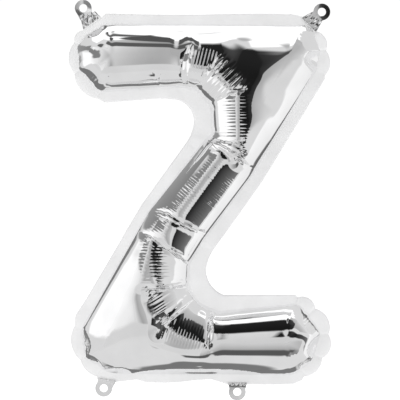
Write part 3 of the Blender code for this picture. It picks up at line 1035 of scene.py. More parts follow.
class FoilRelaxer:
    """Lets a film that is a little too long for its shape fold and pleat by itself.

    The film is a lattice of points joined by threads of fixed length, which a soft bed holds
    near the blown-up shape while air pushes it out. All lengths are in millimetres.
    """

    # Threads from each point: rows up, columns across, and stiffness.
    STEPS = ((0, 1, 1.0), (1, 0, 1.0), (1, 1, 0.5), (1, -1, 0.5))
    # Share of its speed that a point keeps from one move to the next.
    MOMENTUM = 0.9

    def __init__(
        self, lattice: FilmLattice, bed: np.ndarray, spare: np.ndarray, direction: np.ndarray
    ) -> None:
        """Measure the threads.

        Args:
            lattice: The lattice that the film is cut from.
            bed: The shape that the film lies near, as x, y and z lattices.
            spare: The share by which the film is longer than its bed.
            direction: Unit plan vectors along which it is longer.
        """
        self.lattice = lattice
        self.spare, self.direction = spare, direction
        self.free = lattice.free.astype(np.float32)
        self.bed = bed.astype(np.float32)
        self.film = self.bed.copy()
        self.threads = [self._thread_set(*step, start) for step in self.STEPS for start in (0, 1)]

    def _thread_set(self, rows: int, columns: int, stiffness: float, start: int) -> tuple:
        """Measure one set of threads that share no point.

        Args:
            rows: Rows from a thread's first end up to its second.
            columns: Columns from its first end across to its second.
            stiffness: Share of a thread's error that is mended in one move.
            start: First row or column of the set.

        Returns:
            Both ends as slices, the threads' lengths, and the pull on each end.
        """
        height, width = self.lattice.inside.shape
        if rows == 0:
            first = (slice(0, height), slice(start, width - 1, 2))
        elif columns < 0:
            first = (slice(start, height - 1, 2), slice(1, width))
        else:
            first = (slice(start, height - 1, 2), slice(0, width - columns))
        second = tuple(
            slice(part.start + step, min(part.stop + step, most), part.step)
            for part, step, most in zip(first, (rows, columns), (height, width))
        )
        along = self.bed[(slice(None), *second)] - self.bed[(slice(None), *first)]
        length = np.maximum(np.sqrt((along**2).sum(axis=0)), TINY)
        direction = self.direction[first]
        turned = (along[0] * direction[..., 0] + along[2] * direction[..., 1]) / length
        share = 0.5 * (self.spare[first] + self.spare[second])
        rest = length * np.sqrt(1.0 + ((1.0 + share) ** 2 - 1.0) * turned**2)
        free_a, free_b = self.free[first], self.free[second]
        joined = self.lattice.inside[first] & self.lattice.inside[second]
        weight = stiffness * joined / np.maximum(free_a + free_b, 1.0)
        return first, second, rest.astype(np.float32), weight * free_a, weight * free_b

    def _outward(self, film: np.ndarray) -> np.ndarray:
        """Find each point's outward normal.

        Args:
            film: The film as x, y and z lattices.

        Returns:
            The normals, scaled by the area that each point stands for.
        """
        across, up = np.zeros_like(film), np.zeros_like(film)
        across[:, :, 1:-1] = film[:, :, 2:] - film[:, :, :-2]
        up[:, 1:-1] = film[:, 2:] - film[:, :-2]
        turns = ((1, 2), (2, 0), (0, 1))
        normal = np.stack([across[a] * up[b] - across[b] * up[a] for a, b in turns])
        return normal / (4.0 * self.lattice.pitch**2)

    def nudge(self, amount: np.ndarray, seed: int) -> None:
        """Shake the film by a small random height, so that its pleats can start."""
        shaken = np.random.default_rng(seed).normal(size=amount.shape)
        self.film[1] += (shaken * amount).astype(np.float32) * self.free

    def relax(self, rounds: int, pressure: float, bed_pull: float, stiffness: float) -> np.ndarray:
        """Move the film until its threads, the air and the bed agree.

        Args:
            rounds: How many small moves are made.
            pressure: Push of the air in one move.
            bed_pull: Share of the way back to the bed in one move.
            stiffness: Resistance to sharp bends.

        Returns:
            The film as x, y and z lattices.
        """
        film, before = self.film, self.film.copy()
        for _ in range(rounds):
            start = film.copy()
            film += (self.MOMENTUM * (film - before) + pressure * self._outward(film)) * self.free
            film += bed_pull * (self.bed - film) * self.free
            curve = (neighbour_mean(film) - film) * self.free
            film -= stiffness * (neighbour_mean(curve) - curve) * self.free
            for first, second, rest, pull_a, pull_b in self.threads:
                end_a, end_b = film[(slice(None), *first)], film[(slice(None), *second)]
                along = end_b - end_a
                length = np.sqrt((along * along).sum(axis=0)) + TINIER
                along *= (length - rest) / length
                end_a += along * pull_a
                end_b -= along * pull_b
            before = start
        return film


def new_object(name: str, mesh_maker: bmesh.types.BMesh, smooth: bool = True) -> bpy.types.Object:
    """Write a bmesh to a new object in the scene and free it.

    Args:
        name: Name of the piece.
        mesh_maker: The finished bmesh, in metres.
        smooth: Whether its faces are shaded smooth.

    Returns:
        The new object.
    """
    for face in mesh_maker.faces:
        face.smooth = smooth
    mesh = bpy.data.meshes.new(name)
    mesh_maker.to_mesh(mesh)
    mesh_maker.free()
    piece = bpy.data.objects.new(name, mesh)
    bpy.context.collection.objects.link(piece)
    return piece


def dress(piece: bpy.types.Object, material: bpy.types.Material) -> None:
    """Give a piece its only material."""
    piece.data.materials.clear()
    piece.data.materials.append(material)


@dataclass
class BlownFilm:
    """One blown-up sheet of mirror foil, creased and pleated over the whole letter.

    Attributes:
        name: Name of the piece.
        node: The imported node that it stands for.
        side: Which way it bulges.
        seed: Seed of the shake that starts its pleats.
        end_share: Share by which it is too long for its shape where its ends are gathered.
        bed_press: Share of the folds that its bed already has.
        bed_limit: Most that they press the bed in, as a share of its height.
        shake: Height of the shake, in millimetres.
        shake_rise: Height of the film at which the shake is full.
        shake_end: Share of the gathering at which the shake is full.
        relaxing: How it is relaxed: the rounds, and what FoilRelaxer.relax does in each.
        smoothing: How often its moves are smoothed on the fine lattice.
        press_limit: Most that folds press it in, as a share of its height.
        pleat_rise: Height of the film at which its pleats are full.
        fold_strain: Strain that a fold of one millimetre leaves.
    """

    name: str
    node: str
    side: Side
    seed: int
    end_share: float = 0.12
    bed_press: float = 0.5
    bed_limit: float = 0.4
    shake: float = 0.15
    shake_rise: float = 12.0
    shake_end: float = 0.4
    relaxing: tuple = (150, 0.02, 0.05, 0.2)
    smoothing: int = 2
    press_limit: float = 0.7
    pleat_rise: float = 8.0
    fold_strain: float = 0.05

    def shape(self, lattice: FilmLattice) -> tuple[np.ndarray, np.ndarray]:
        """Crease the smooth film.

        Args:
            lattice: The lattice that the film is cut from.

        Returns:
            The film as x, y and z lattices, and how strained each point is.
        """
        coarse = lattice.halved()
        creasing = Creasing.of(coarse)
        bed = coarse.film.copy()
        bed[1] += np.minimum(self.bed_press * creasing.folds, -self.bed_limit * bed[1])
        relaxer = FoilRelaxer(coarse, bed, self.end_share * creasing.ends, coarse.along)
        raised = np.clip(-bed[1] / self.shake_rise, 0.0, 1.0)
        gathered = eased(creasing.ends, 0.0, self.shake_end)
        relaxer.nudge(self.shake * raised * gathered, self.seed)
        moved = relaxer.relax(*self.relaxing) - relaxer.bed
        creasing = Creasing.of(lattice)
        lifted = np.stack([doubled(part, lattice.inside.shape) for part in moved])
        film = lattice.film + softened(lifted, self.smoothing, True) * lattice.free
        film[1] += np.minimum(creasing.folds, -self.press_limit * film[1])
        film[1] -= creasing.pleats * np.clip(-film[1] / self.pleat_rise, 0.0, 1.0)
        return film, np.abs(creasing.pleats) + self.fold_strain * creasing.folds

    def build(self, lattice: FilmLattice) -> bpy.types.Object:
        """Build the film with its seam rim on the plane of the seal.

        Args:
            lattice: The lattice that the film is cut from.

        Returns:
            The new object, with its strain as an attribute.
        """
        film, strain = self.shape(lattice)
        film[1] *= -self.side.value
        rows, columns = lattice.inside.shape
        work = bmesh.new()
        cell = work.verts.layers.float.new(STRAIN)
        bmesh.ops.create_grid(work, x_segments=columns - 1, y_segments=rows - 1, size=0.5)
        verts = list(work.verts)
        places = np.array([vert.co for vert in verts])
        j = np.rint((places[:, 0] + 0.5) * (columns - 1)).astype(int)
        i = np.rint((places[:, 1] + 0.5) * (rows - 1)).astype(int)
        for vert, place, share in zip(verts, film[:, i, j].T * MM, strain[i, j]):
            vert.co = place
            vert[cell] = share
        outside = [vert for vert, kept in zip(verts, lattice.inside[i, j]) if not kept]
        bmesh.ops.delete(work, geom=outside, context="VERTS")
        loose = [vert for vert in work.verts if not vert.link_faces]
        bmesh.ops.delete(work, geom=loose, context="VERTS")
        if self.side is Side.BACK:
            bmesh.ops.reverse_faces(work, faces=work.faces)
        return new_object(self.name, work)


def add_node(tree: bpy.types.NodeTree, kind: str, given: dict, **options: str) -> bpy.types.Node:
    """Add a shader node.

    Args:
        tree: The node tree of a material, a group or the world.
        kind: Blender's name for the kind of node.
        given: What its inputs take: another node's output, or a plain value.
        options: The node's own settings.

    Returns:
        The new node.
    """
    node = tree.nodes.new(kind)
    for name, value in options.items():
        setattr(node, name, value)
    for label, value in given.items():
        if isinstance(value, bpy.types.NodeSocket):
            tree.links.new(value, node.inputs[label])
        else:
            node.inputs[label].default_value = value
    return node


@dataclass(frozen=True)
class FilmFinish:
    """A metallised film, with the faint clouding and creasing that handling leaves.

    Attributes:
        name: Name of the material and of its slot.
        colour: Colour of the metal layer.
        metallic: Share of the surface that reflects as metal.
        roughness: Smallest and largest roughness.
        crinkle: Height of the fine creasing, in millimetres.
        crinkle_size: Size of the fine creasing, in millimetres.
        strain_crinkle: Extra height where the film is pleated, in millimetres.
        full_strain: Strain at which that extra height is full.
        cloud_size: Size of the clouding, in millimetres.
        cloud_shade: Share of the colour that is left where the film is clouded.
    """

    name: str
    colour: tuple
    metallic: float
    roughness: tuple
    crinkle: float
    crinkle_size: float
    strain_crinkle: float = 0.0
    full_strain: float = 0.1
    cloud_size: float = 26.0
    cloud_shade: float = 0.93

    def material(self) -> bpy.types.Material:
        """Build the finish.

        Returns:
            The new material.
        """
        material = bpy.data.materials.new(self.name)
        material.use_nodes = True
        tree = material.node_tree
        shader = tree.nodes["Principled BSDF"]
        shader.inputs["Metallic"].default_value = self.metallic
        place = tree.nodes.new("ShaderNodeTexCoord")
        handled = tree.nodes.new("ShaderNodeGroup")
        handled.node_tree = handled_film_group()
        handled.inputs["Cloud Size"].default_value = self.cloud_size
        handled.inputs["Crinkle Size"].default_value = self.crinkle_size
        tree.links.new(place.outputs["Object"], handled.inputs["Place"])
        clouded = handled.outputs["Cloud"]
        darker = (*(self.cloud_shade * part for part in self.colour), 1.0)
        tint = {"Factor": clouded, "A": darker, "B": (*self.colour, 1.0)}
        colour = add_node(tree, "ShaderNodeMix", tint, data_type="RGBA")
        gloss = {"Value": clouded, "To Min": self.roughness[0], "To Max": self.roughness[1]}
        gloss = add_node(tree, "ShaderNodeMapRange", gloss)
        strain = add_node(tree, "ShaderNodeAttribute", {}, attribute_name=STRAIN)
        reach = {
            "Value": strain.outputs["Fac"],
            "From Max": self.full_strain,
            "To Min": self.crinkle,
            "To Max": self.crinkle + self.strain_crinkle,
        }
        reach = add_node(tree, "ShaderNodeMapRange", reach).outputs["Result"]
        height = {0: handled.outputs["Crinkle"], 1: reach}
        height = add_node(tree, "ShaderNodeMath", height, operation="MULTIPLY").outputs["Value"]
        bump = add_node(tree, "ShaderNodeBump", {"Distance": MM, "Height": height})
        tree.links.new(colour.outputs["Result"], shader.inputs["Base Color"])
        tree.links.new(gloss.outputs["Result"], shader.inputs["Roughness"])
        tree.links.new(bump.outputs["Normal"], shader.inputs["Normal"])
        return material


# Handling marks: detail of the clouds, what becomes clear and clouded in them, detail of the
# waves between the fine creases, and the share of the creases themselves.
CLOUD_DETAIL, CLOUD_CONTRAST, WANDER_DETAIL, CREASE_SHARE = 3.0, (0.3, 0.7), 2.0, 0.6


def handled_film_group() -> bpy.types.NodeTree:
    """Give the shader group for clouding and fine creases, built on first use.

    Returns:
        The group, with sizes in millimetres as inputs and two masks as outputs.
    """
    name = "handled_film"
    if name in bpy.data.node_groups:
        return bpy.data.node_groups[name]
    group = bpy.data.node_groups.new(name, "ShaderNodeTree")
    for label in ("Place", "Cloud Size", "Crinkle Size"):
        kind = "NodeSocketVector" if label == "Place" else "NodeSocketFloat"
        group.interface.new_socket(name=label, in_out="INPUT", socket_type=kind)
    for label in ("Cloud", "Crinkle"):
        group.interface.new_socket(name=label, in_out="OUTPUT", socket_type="NodeSocketFloat")
    given = add_node(group, "NodeGroupInput", {}).outputs
    scales = {}
    for label in ("Cloud Size", "Crinkle Size"):
        sizes = {0: 1.0 / MM, 1: given[label]}
        divide = add_node(group, "ShaderNodeMath", sizes, operation="DIVIDE")
        scales[label] = {"Vector": given["Place"], "Scale": divide.outputs["Value"]}
    cloud = {**scales["Cloud Size"], "Detail": CLOUD_DETAIL}
    cloud = add_node(group, "ShaderNodeTexNoise", cloud).outputs["Fac"]
    clear, full = CLOUD_CONTRAST
    contrast = {"Value": cloud, "From Min": clear, "From Max": full}
    contrast = add_node(group, "ShaderNodeMapRange", contrast)
    wander = {**scales["Crinkle Size"], "Detail": WANDER_DETAIL}
    wander = add_node(group, "ShaderNodeTexNoise", wander)
    crease = add_node(
        group, "ShaderNodeTexVoronoi", scales["Crinkle Size"], feature="DISTANCE_TO_EDGE"
    )
    crease = {0: crease.outputs["Distance"], 1: CREASE_SHARE}
    crease = add_node(group, "ShaderNodeMath", crease, operation="MULTIPLY").outputs["Value"]
    both = {0: crease, 1: wander.outputs["Fac"]}
    both = add_node(group, "ShaderNodeMath", both, operation="ADD").outputs["Value"]
    made = {"Cloud": contrast.outputs["Result"], "Crinkle": both}
    add_node(group, "NodeGroupOutput", made)
    return group


MIRROR_FOIL = FilmFinish("mirror_foil", (0.93, 0.93, 0.935), 1.0, (0.02, 0.04), 0.004, 9.0, 0.01)
SEALED_FILM = FilmFinish("sealed_film", (0.87, 0.87, 0.875), 0.2, (0.45, 0.55), 0.02, 6.0)
TAB_FILM = FilmFinish("tab_film", (0.88, 0.88, 0.885), 1.0, (0.09, 0.16), 0.015, 3.0)
NECK_FILM = FilmFinish("neck_film", (0.88, 0.88, 0.885), 1.0, (0.09, 0.16), 0.015, 3.5)


def unit_ring(parts: int, rings: int) -> tuple[bmesh.types.BMesh, np.ndarray, np.ndarray]:
    """Build a flat ring from radius 1 to 2, with each vertex's turn and share across.

    Args:
        parts: Number of faces round the ring.
        rings: Number of faces across it.

    Returns:
        The bmesh, each vertex's turn from 0 to 1, and its share from 0 inside to 1 outside.
    """
    work = bmesh.new()
    bmesh.ops.create_circle(work, segments=parts, radius=1.0)
    grown = bmesh.ops.extrude_edge_only(work, edges=work.edges[:])
    outer = [item for item in grown["geom"] if isinstance(item, bmesh.types.BMVert)]
    bmesh.ops.scale(work, vec=(2.0, 2.0, 1.0), verts=outer)
    lengths = ((edge, [vert.co.length for vert in edge.verts]) for edge in work.edges)
    radial = [edge for edge, (first, last) in lengths if abs(first - last) > 0.5]
    bmesh.ops.subdivide_edges(work, edges=radial, cuts=rings - 1, use_grid_fill=True)
    places = np.array([vert.co for vert in work.verts])
    angle = np.arctan2(places[:, 1], places[:, 0])
    turn = (angle - angle[0]) / (2.0 * np.pi) % 1.0
    across = np.hypot(places[:, 0], places[:, 1]) - 1.0
    return work, turn, np.clip(across, 0.0, 1.0)


def place_film(work: bmesh.types.BMesh, places: np.ndarray, thickness: float) -> None:
    """Move a flat film's vertices to their places and give it a thickness.

    Args:
        work: The flat film.
        places: Place of each vertex, in millimetres.
        thickness: Thickness of the film, in metres.
    """
    for vert, place in zip(work.verts, places * MM):
        vert.co = place
    bmesh.ops.recalc_face_normals(work, faces=work.faces)
    bmesh.ops.solidify(work, geom=work.faces[:], thickness=thickness)
    bmesh.ops.recalc_face_normals(work, faces=work.faces)


def smooth_noise(count: int, width: float, seed: int) -> np.ndarray:
    """Make a closed row of smooth random values.

    Args:
        count: Number of values.
        width: Number of values over which they are smoothed.
        seed: Seed of the random values.

    Returns:
        The values, scaled to a spread of one.
    """
    rough = np.random.default_rng(seed).normal(size=count)
    reach = np.minimum(np.arange(count), count - np.arange(count))
    kernel = np.exp(-0.5 * (reach / width) ** 2)
    soft = np.fft.irfft(np.fft.rfft(rough) * np.fft.rfft(kernel), count)
    return soft / soft.std()


def bulged_edge(start: Sequence, end: Sequence, bulge: float, parts: int) -> np.ndarray:
    """Lay points along an arc or a straight stretch.

    Args:
        start: First point.
        end: End of the stretch, where the next one starts.
        bulge: Height of the arc, positive to the left, or 0 for a straight stretch.
        parts: Number of points.

    Returns:
        The points, without the end.
    """
    start, end = np.array(start, float), np.array(end, float)
    share = np.arange(parts) / parts
    if bulge == 0.0:
        return start + share[:, None] * (end - start)
    chord = float(np.hypot(*(end - start)))
    along = (end - start) / chord
    outward = np.array((-along[1], along[0])) * math.copysign(1.0, bulge)
    radius = chord * chord / (8.0 * abs(bulge)) + abs(bulge) / 2.0
    half_angle = math.asin(min(1.0, chord / (2.0 * radius)))
    centre = (start + end) / 2.0 + outward * (abs(bulge) - radius)
    angle = half_angle * (2.0 * share - 1.0)
    return centre + radius * (np.sin(angle)[:, None] * along + np.cos(angle)[:, None] * outward)


@dataclass
class SealedMargin:
    """The flat sealed edge round the letter, scalloped at the outer corners.

    Attributes:
        name: Name of the piece.
        node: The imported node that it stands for.
        under_film: How far it reaches in behind the seam line, in millimetres.
        step: Wanted distance between points along the edge.
        rings: Number of faces across it.
        thickness: Thickness of the film, in metres.
        full_bulge: Bulge from which a scallop is domed and gathered in full.
        bay_bulge: Bulge below which an edge runs round an inner corner.
        waves: Long wave of the edge: values that it is smoothed over, seed and height.
        ripples: Short wave inside the edge: the same.
        bay_ripple: Extra height of the short wave round the inner corners.
        dome: Height of a scallop's dome.
        pinch: Height of the pinch between two scallops.
        pinch_share: Half width of the pinch, as a share of the scallop.
    """

    name: str = "sealed_margin_film"
    node: str = "sealed_margin"
    under_film: float = 1.4
    step: float = 1.1
    rings: int = 9
    thickness: float = 0.00025
    full_bulge: float = 4.5
    bay_bulge: float = -1.0
    waves: tuple = (9.0, 5, 0.16)
    ripples: tuple = (2.2, 6, 0.05)
    bay_ripple: float = 0.2
    dome: float = 0.9
    pinch: float = 0.9
    pinch_share: float = 0.06

    # Powers of the long and the short wave across the margin and of a scallop along its edge and
    # across it, and how far across its dome starts.
    LONG_POWER, SHORT_POWER, EDGE_POWER, DOME_POWER, DOME_START = 1.5, 0.8, 0.8, 1.3, 0.15

    def build(self, lattice: FilmLattice) -> bpy.types.Object:
        """Build the margin as a thin closed film.

        Args:
            lattice: The lattice of the blown-up film, for its seam line.

        Returns:
            The new object.
        """
        outer, inner, bulge, share = self._edges(lattice.seam)
        count = len(outer)
        work, turn, across = unit_ring(count, self.rings)
        column = np.rint(turn * count).astype(int) % count
        plan = inner[column] + across[:, None] * (outer - inner)[column]
        lift = self._lift(bulge, share)[column, np.rint(across * self.rings).astype(int)]
        place_film(work, np.stack([plan[:, 0], lift, plan[:, 1]], axis=1), self.thickness)
        return new_object(self.name, work)

    def _edges(self, seam: np.ndarray) -> tuple[np.ndarray, np.ndarray, np.ndarray, np.ndarray]:
        """Lay matching points on both edges.

        Args:
            seam: Dense points of the seam line.

        Returns:
            The outer and the inner points, with each one's bulge and share of its arc.
        """
        corners = np.array([corner[:2] for corner in MARGIN_EDGE_MM])
        along = np.roll(seam, -1, axis=0) - np.roll(seam, 1, axis=0)
        along /= np.hypot(*along.T)[:, None]
        inset = seam + np.stack([along[:, 1], -along[:, 0]], axis=1) * self.under_film
        nearest = [int(np.hypot(*(seam - corner).T).argmin()) for corner in corners]
        rows = []
        for index, (x, z, bulge) in enumerate(MARGIN_EDGE_MM):
            following = (index + 1) % len(MARGIN_EDGE_MM)
            end = MARGIN_EDGE_MM[following][:2]
            span = (nearest[following] - nearest[index]) % len(seam)
            span = 0 if span > len(seam) // 2 else span
            parts = max(2, round(math.hypot(end[0] - x, end[1] - z) / self.step))
            share = np.arange(parts) / parts
            at = (nearest[index] + share * span) % len(seam)
            low = at.astype(int)
            part = (at - low)[:, None]
            inner = (1.0 - part) * inset[low] + part * inset[(low + 1) % len(seam)]
            outer = bulged_edge((x, z), end, bulge, parts)
            rows.append((outer, inner, np.full(parts, bulge), share))
        return tuple(np.concatenate(column) for column in zip(*rows))

    def _lift(self, bulge: np.ndarray, share: np.ndarray) -> np.ndarray:
        """Wave, dome and pinch the margin.

        Args:
            bulge: Bulge of the edge at each outer point.
            share: Each outer point's share of its arc.

        Returns:
            How far each point of each ring stands out of the plane of the seal.
        """
        count = len(bulge)
        across = np.arange(self.rings + 1) / self.rings
        long_wave = smooth_noise(count, *self.waves[:2])[:, None]
        short_wave = smooth_noise(count, *self.ripples[:2])[:, None]
        gathered = np.clip(np.abs(bulge) / self.full_bulge, 0.0, 1.0)
        bay = (bulge < self.bay_bulge).astype(float)
        lift = self.waves[2] * long_wave * across**self.LONG_POWER
        uneven = (self.ripples[2] + self.bay_ripple * bay)[:, None]
        lift = lift + uneven * short_wave * np.sin(np.pi * across**self.SHORT_POWER)
        dome = np.sin(np.pi * share) ** self.EDGE_POWER * gathered * (1.0 - bay)
        domed = np.minimum(self.DOME_START + (1.0 - self.DOME_START) * across, 1.0)
        profile = np.sin(np.pi * domed**self.DOME_POWER)
        lift = lift - self.dome * dome[:, None] * profile
        to_tip = np.minimum(share, 1.0 - share) / self.pinch_share
        pinch = np.exp(-(to_tip**2)) * gathered * (1.0 - bay)
        return lift + self.pinch * pinch[:, None] * across


@dataclass
class HangTab:
    """A punched eyelet of flat film on a crumpled neck.

    Attributes:
        name: Name of the piece.
        node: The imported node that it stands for.
        centre: Middle of the hole, x and z in millimetres.
        base: Both ends of the line where it joins the margin.
        half_angle: Half the angle that its round head fills, in degrees.
        seed: Shifts its crumples.
        dish: How fast its head curves forward away from the hole, per millimetre.
        radius: Radius of the head.
        head_points: Number of points round the head.
        hole_radius: Radius of the hole.
        parts: Number of faces round the hole.
        rings: Number of faces from the hole to the edge.
        thickness: Thickness of the film, in metres.
        overlap: How far it reaches in over the margin, in millimetres.
        crumple_band: Distances below the hole between which the crumples set in, in radii.
        crumples: Crumples: share, waves per millimetre aside and down, and shift by the seed.
        crumple_height: Height of the crumples.
        warp: Height of the head's warp.
    """

    name: str
    node: str
    centre: tuple
    base: tuple
    half_angle: float
    seed: int
    dish: float
    radius: float = 8.2
    head_points: int = 40
    hole_radius: float = 3.9
    parts: int = 120
    rings: int = 18
    thickness: float = 0.0003
    overlap: float = 1.6
    crumple_band: tuple = (0.6, 1.1)
    crumples: tuple = ((1.0, 0.75, 0.16, 1.0), (0.5, 1.3, -0.3, 2.0), (0.5, 0.35, 0.5, 1.0))
    crumple_height: float = 0.5
    warp: float = 0.06

    def _outline(self) -> np.ndarray:
        """Lay the tab's outline round its hole.

        Returns:
            Its plan points in order.
        """
        centre = np.array(self.centre)
        ends = np.array(self.base)
        outward = unit(centre - ends.mean(axis=0))
        heading = math.atan2(outward[1], outward[0])
        turns = np.linspace(-1.0, 1.0, self.head_points)
        angles = heading + np.radians(self.half_angle) * turns
        arc = centre + self.radius * np.stack([np.cos(angles), np.sin(angles)], axis=1)
        ends = ends - outward * self.overlap
        turned = sorted(ends, key=lambda end: -float(np.cross(outward, end - centre)))
        return np.vstack([arc, turned])

    def _reach(self, ray: np.ndarray) -> np.ndarray:
        """Measure how far rays from the hole's middle run to the outline.

        Args:
            ray: Unit plan vectors.

        Returns:
            Each ray's length.
        """
        outline = self._outline() - np.array(self.centre)
        reach = np.full(len(ray), np.inf)
        for start, end in zip(outline, np.roll(outline, -1, axis=0)):
            edge = end - start
            cross = ray[:, 0] * edge[1] - ray[:, 1] * edge[0]
            cross = np.where(np.abs(cross) < TINIER, TINIER, cross)
            along = (start[0] * edge[1] - start[1] * edge[0]) / cross
            where = (start[0] * ray[:, 1] - start[1] * ray[:, 0]) / cross
            hit = (along > 0.0) & (where >= -TINY) & (where <= 1.0 + TINY)
            reach = np.where(hit, np.minimum(reach, along), reach)
        return reach

    def build(self) -> bpy.types.Object:
        """Build the tab as a thin closed film, flat at the eye and crumpled at the neck.

        Returns:
            The new object.
        """
        work, turn, across = unit_ring(self.parts, self.rings)
        angle = turn * 2.0 * np.pi
        ray = np.stack([np.cos(angle), np.sin(angle)], axis=1)
        centre = np.array(self.centre)
        length = self.hole_radius + across * (self._reach(ray) - self.hole_radius)
        plan = ray * length[:, None]
        inward = -unit(centre - np.array(self.base).mean(axis=0))
        down = plan @ inward
        side = plan @ np.array((-inward[1], inward[0]))
        crumple = eased(down, *(share * self.radius for share in self.crumple_band))
        wave = sum(
            share * np.abs(np.sin(aside * side + below * down + shift * self.seed))
            for share, aside, below, shift in self.crumples
        )
        lift = self.warp * np.sin(2.0 * angle + self.seed) * across
        lift = lift - self.crumple_height * crumple * wave
        lift = lift - self.dish * (plan**2).sum(axis=1) * (1.0 - 0.5 * crumple)
        plan = plan + centre
        place_film(work, np.stack([plan[:, 0], lift, plan[:, 1]], axis=1), self.thickness)
        return new_object(self.name, work)


HANG_TABS = tuple(
    HangTab(f"eyelet_{corner}", f"hang_tab_{corner}", *shape)
    for corner, *shape in (
        ("top_left", (-115.4, 1.8), ((-118.2, -9.2), (-107.2, -2.9)), 115.0, 3, 0.012),
        ("top_right", (115.4, -1.8), ((96.7, -6.4), (110.9, -20.7)), 130.0, 4, 0.009),
        ("bottom_left", (-95.6, -365.7), ((-84.2, -359.8), (-101.6, -357.4)), 110.0, 5, 0.006),
        ("bottom_right", (33.5, -369.3), ((43.0, -361.9), (24.6, -362.1)), 110.0, 6, 0.006),
    )
)


@dataclass
class InflationNeck:
    """The flat, crumpled filling neck with its torn end.

    Attributes:
        name: Name of the piece.
        node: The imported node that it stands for.
        foot: Both ends of the line where it leaves the margin, x and z in millimetres.
        end: Points along its torn end.
        end_shares: Share of the width at which each of them lies.
        rag: How far the torn end is ragged, and how many turns the rags make.
        rag_heading: Direction in which the rags stand.
        across_parts: Number of faces across it.
        long_parts: Number of faces along it.
        foot_y: Place of its foot, in millimetres behind the plane of the seal.
        crumples: Its crumples: height, and turns of the wave across and along it.
        roll: One long wave over it: the same.
        swell: Share of both at the foot, and how much is added by the end.
        thickness: Thickness of the film, in metres.
    """

    name: str = "inflation_neck_film"
    node: str = "inflation_neck"
    foot: tuple = ((-115.4, -18.9), (-98.0, -6.9))
    end: tuple = ((-118.0, -9.6), (-106.8, -3.2), (-103.5, -1.5))
    end_shares: tuple = (0.0, 0.75, 1.0)
    rag: tuple = (0.9, 19.0)
    rag_heading: tuple = (-0.35, 1.0)
    across_parts: int = 48
    long_parts: int = 30
    foot_y: float = -0.6
    crumples: tuple = ((0.5, 9.0, 1.5), (0.25, 16.0, -3.0))
    roll: tuple = (0.3, 6.0, 5.0)
    swell: tuple = (0.3, 0.9)
    thickness: float = 0.0003

    def build(self) -> bpy.types.Object:
        """Build the neck as a thin crumpled film.

        Returns:
            The new object.
        """
        work = bmesh.new()
        bmesh.ops.create_grid(
            work, x_segments=self.across_parts, y_segments=self.long_parts, size=0.5
        )
        places = np.array([vert.co for vert in work.verts])
        u, v = places[:, 0] + 0.5, places[:, 1] + 0.5
        end = np.array(self.end)
        torn = np.stack([np.interp(u, self.end_shares, end[:, k]) for k in (0, 1)], axis=1)
        foot = np.array(self.foot)
        foot = foot[0] + u[:, None] * (foot[1] - foot[0])
        ragged = self.rag[0] * np.abs(np.sin(self.rag[1] * u)) * v
        heading = unit(np.array(self.rag_heading))
        plan = foot + v[:, None] * (torn - foot) + ragged[:, None] * heading
        lift = self.roll[0] * np.sin(self.roll[1] * u + self.roll[2] * v)
        for height, aside, onward in self.crumples:
            lift = lift + height * np.abs(np.sin(aside * u + onward * v))
        lift = self.foot_y + lift * (self.swell[0] + self.swell[1] * v)
        place_film(work, np.stack([plan[:, 0], lift, plan[:, 1]], axis=1), self.thickness)
        return new_object(self.name, work)


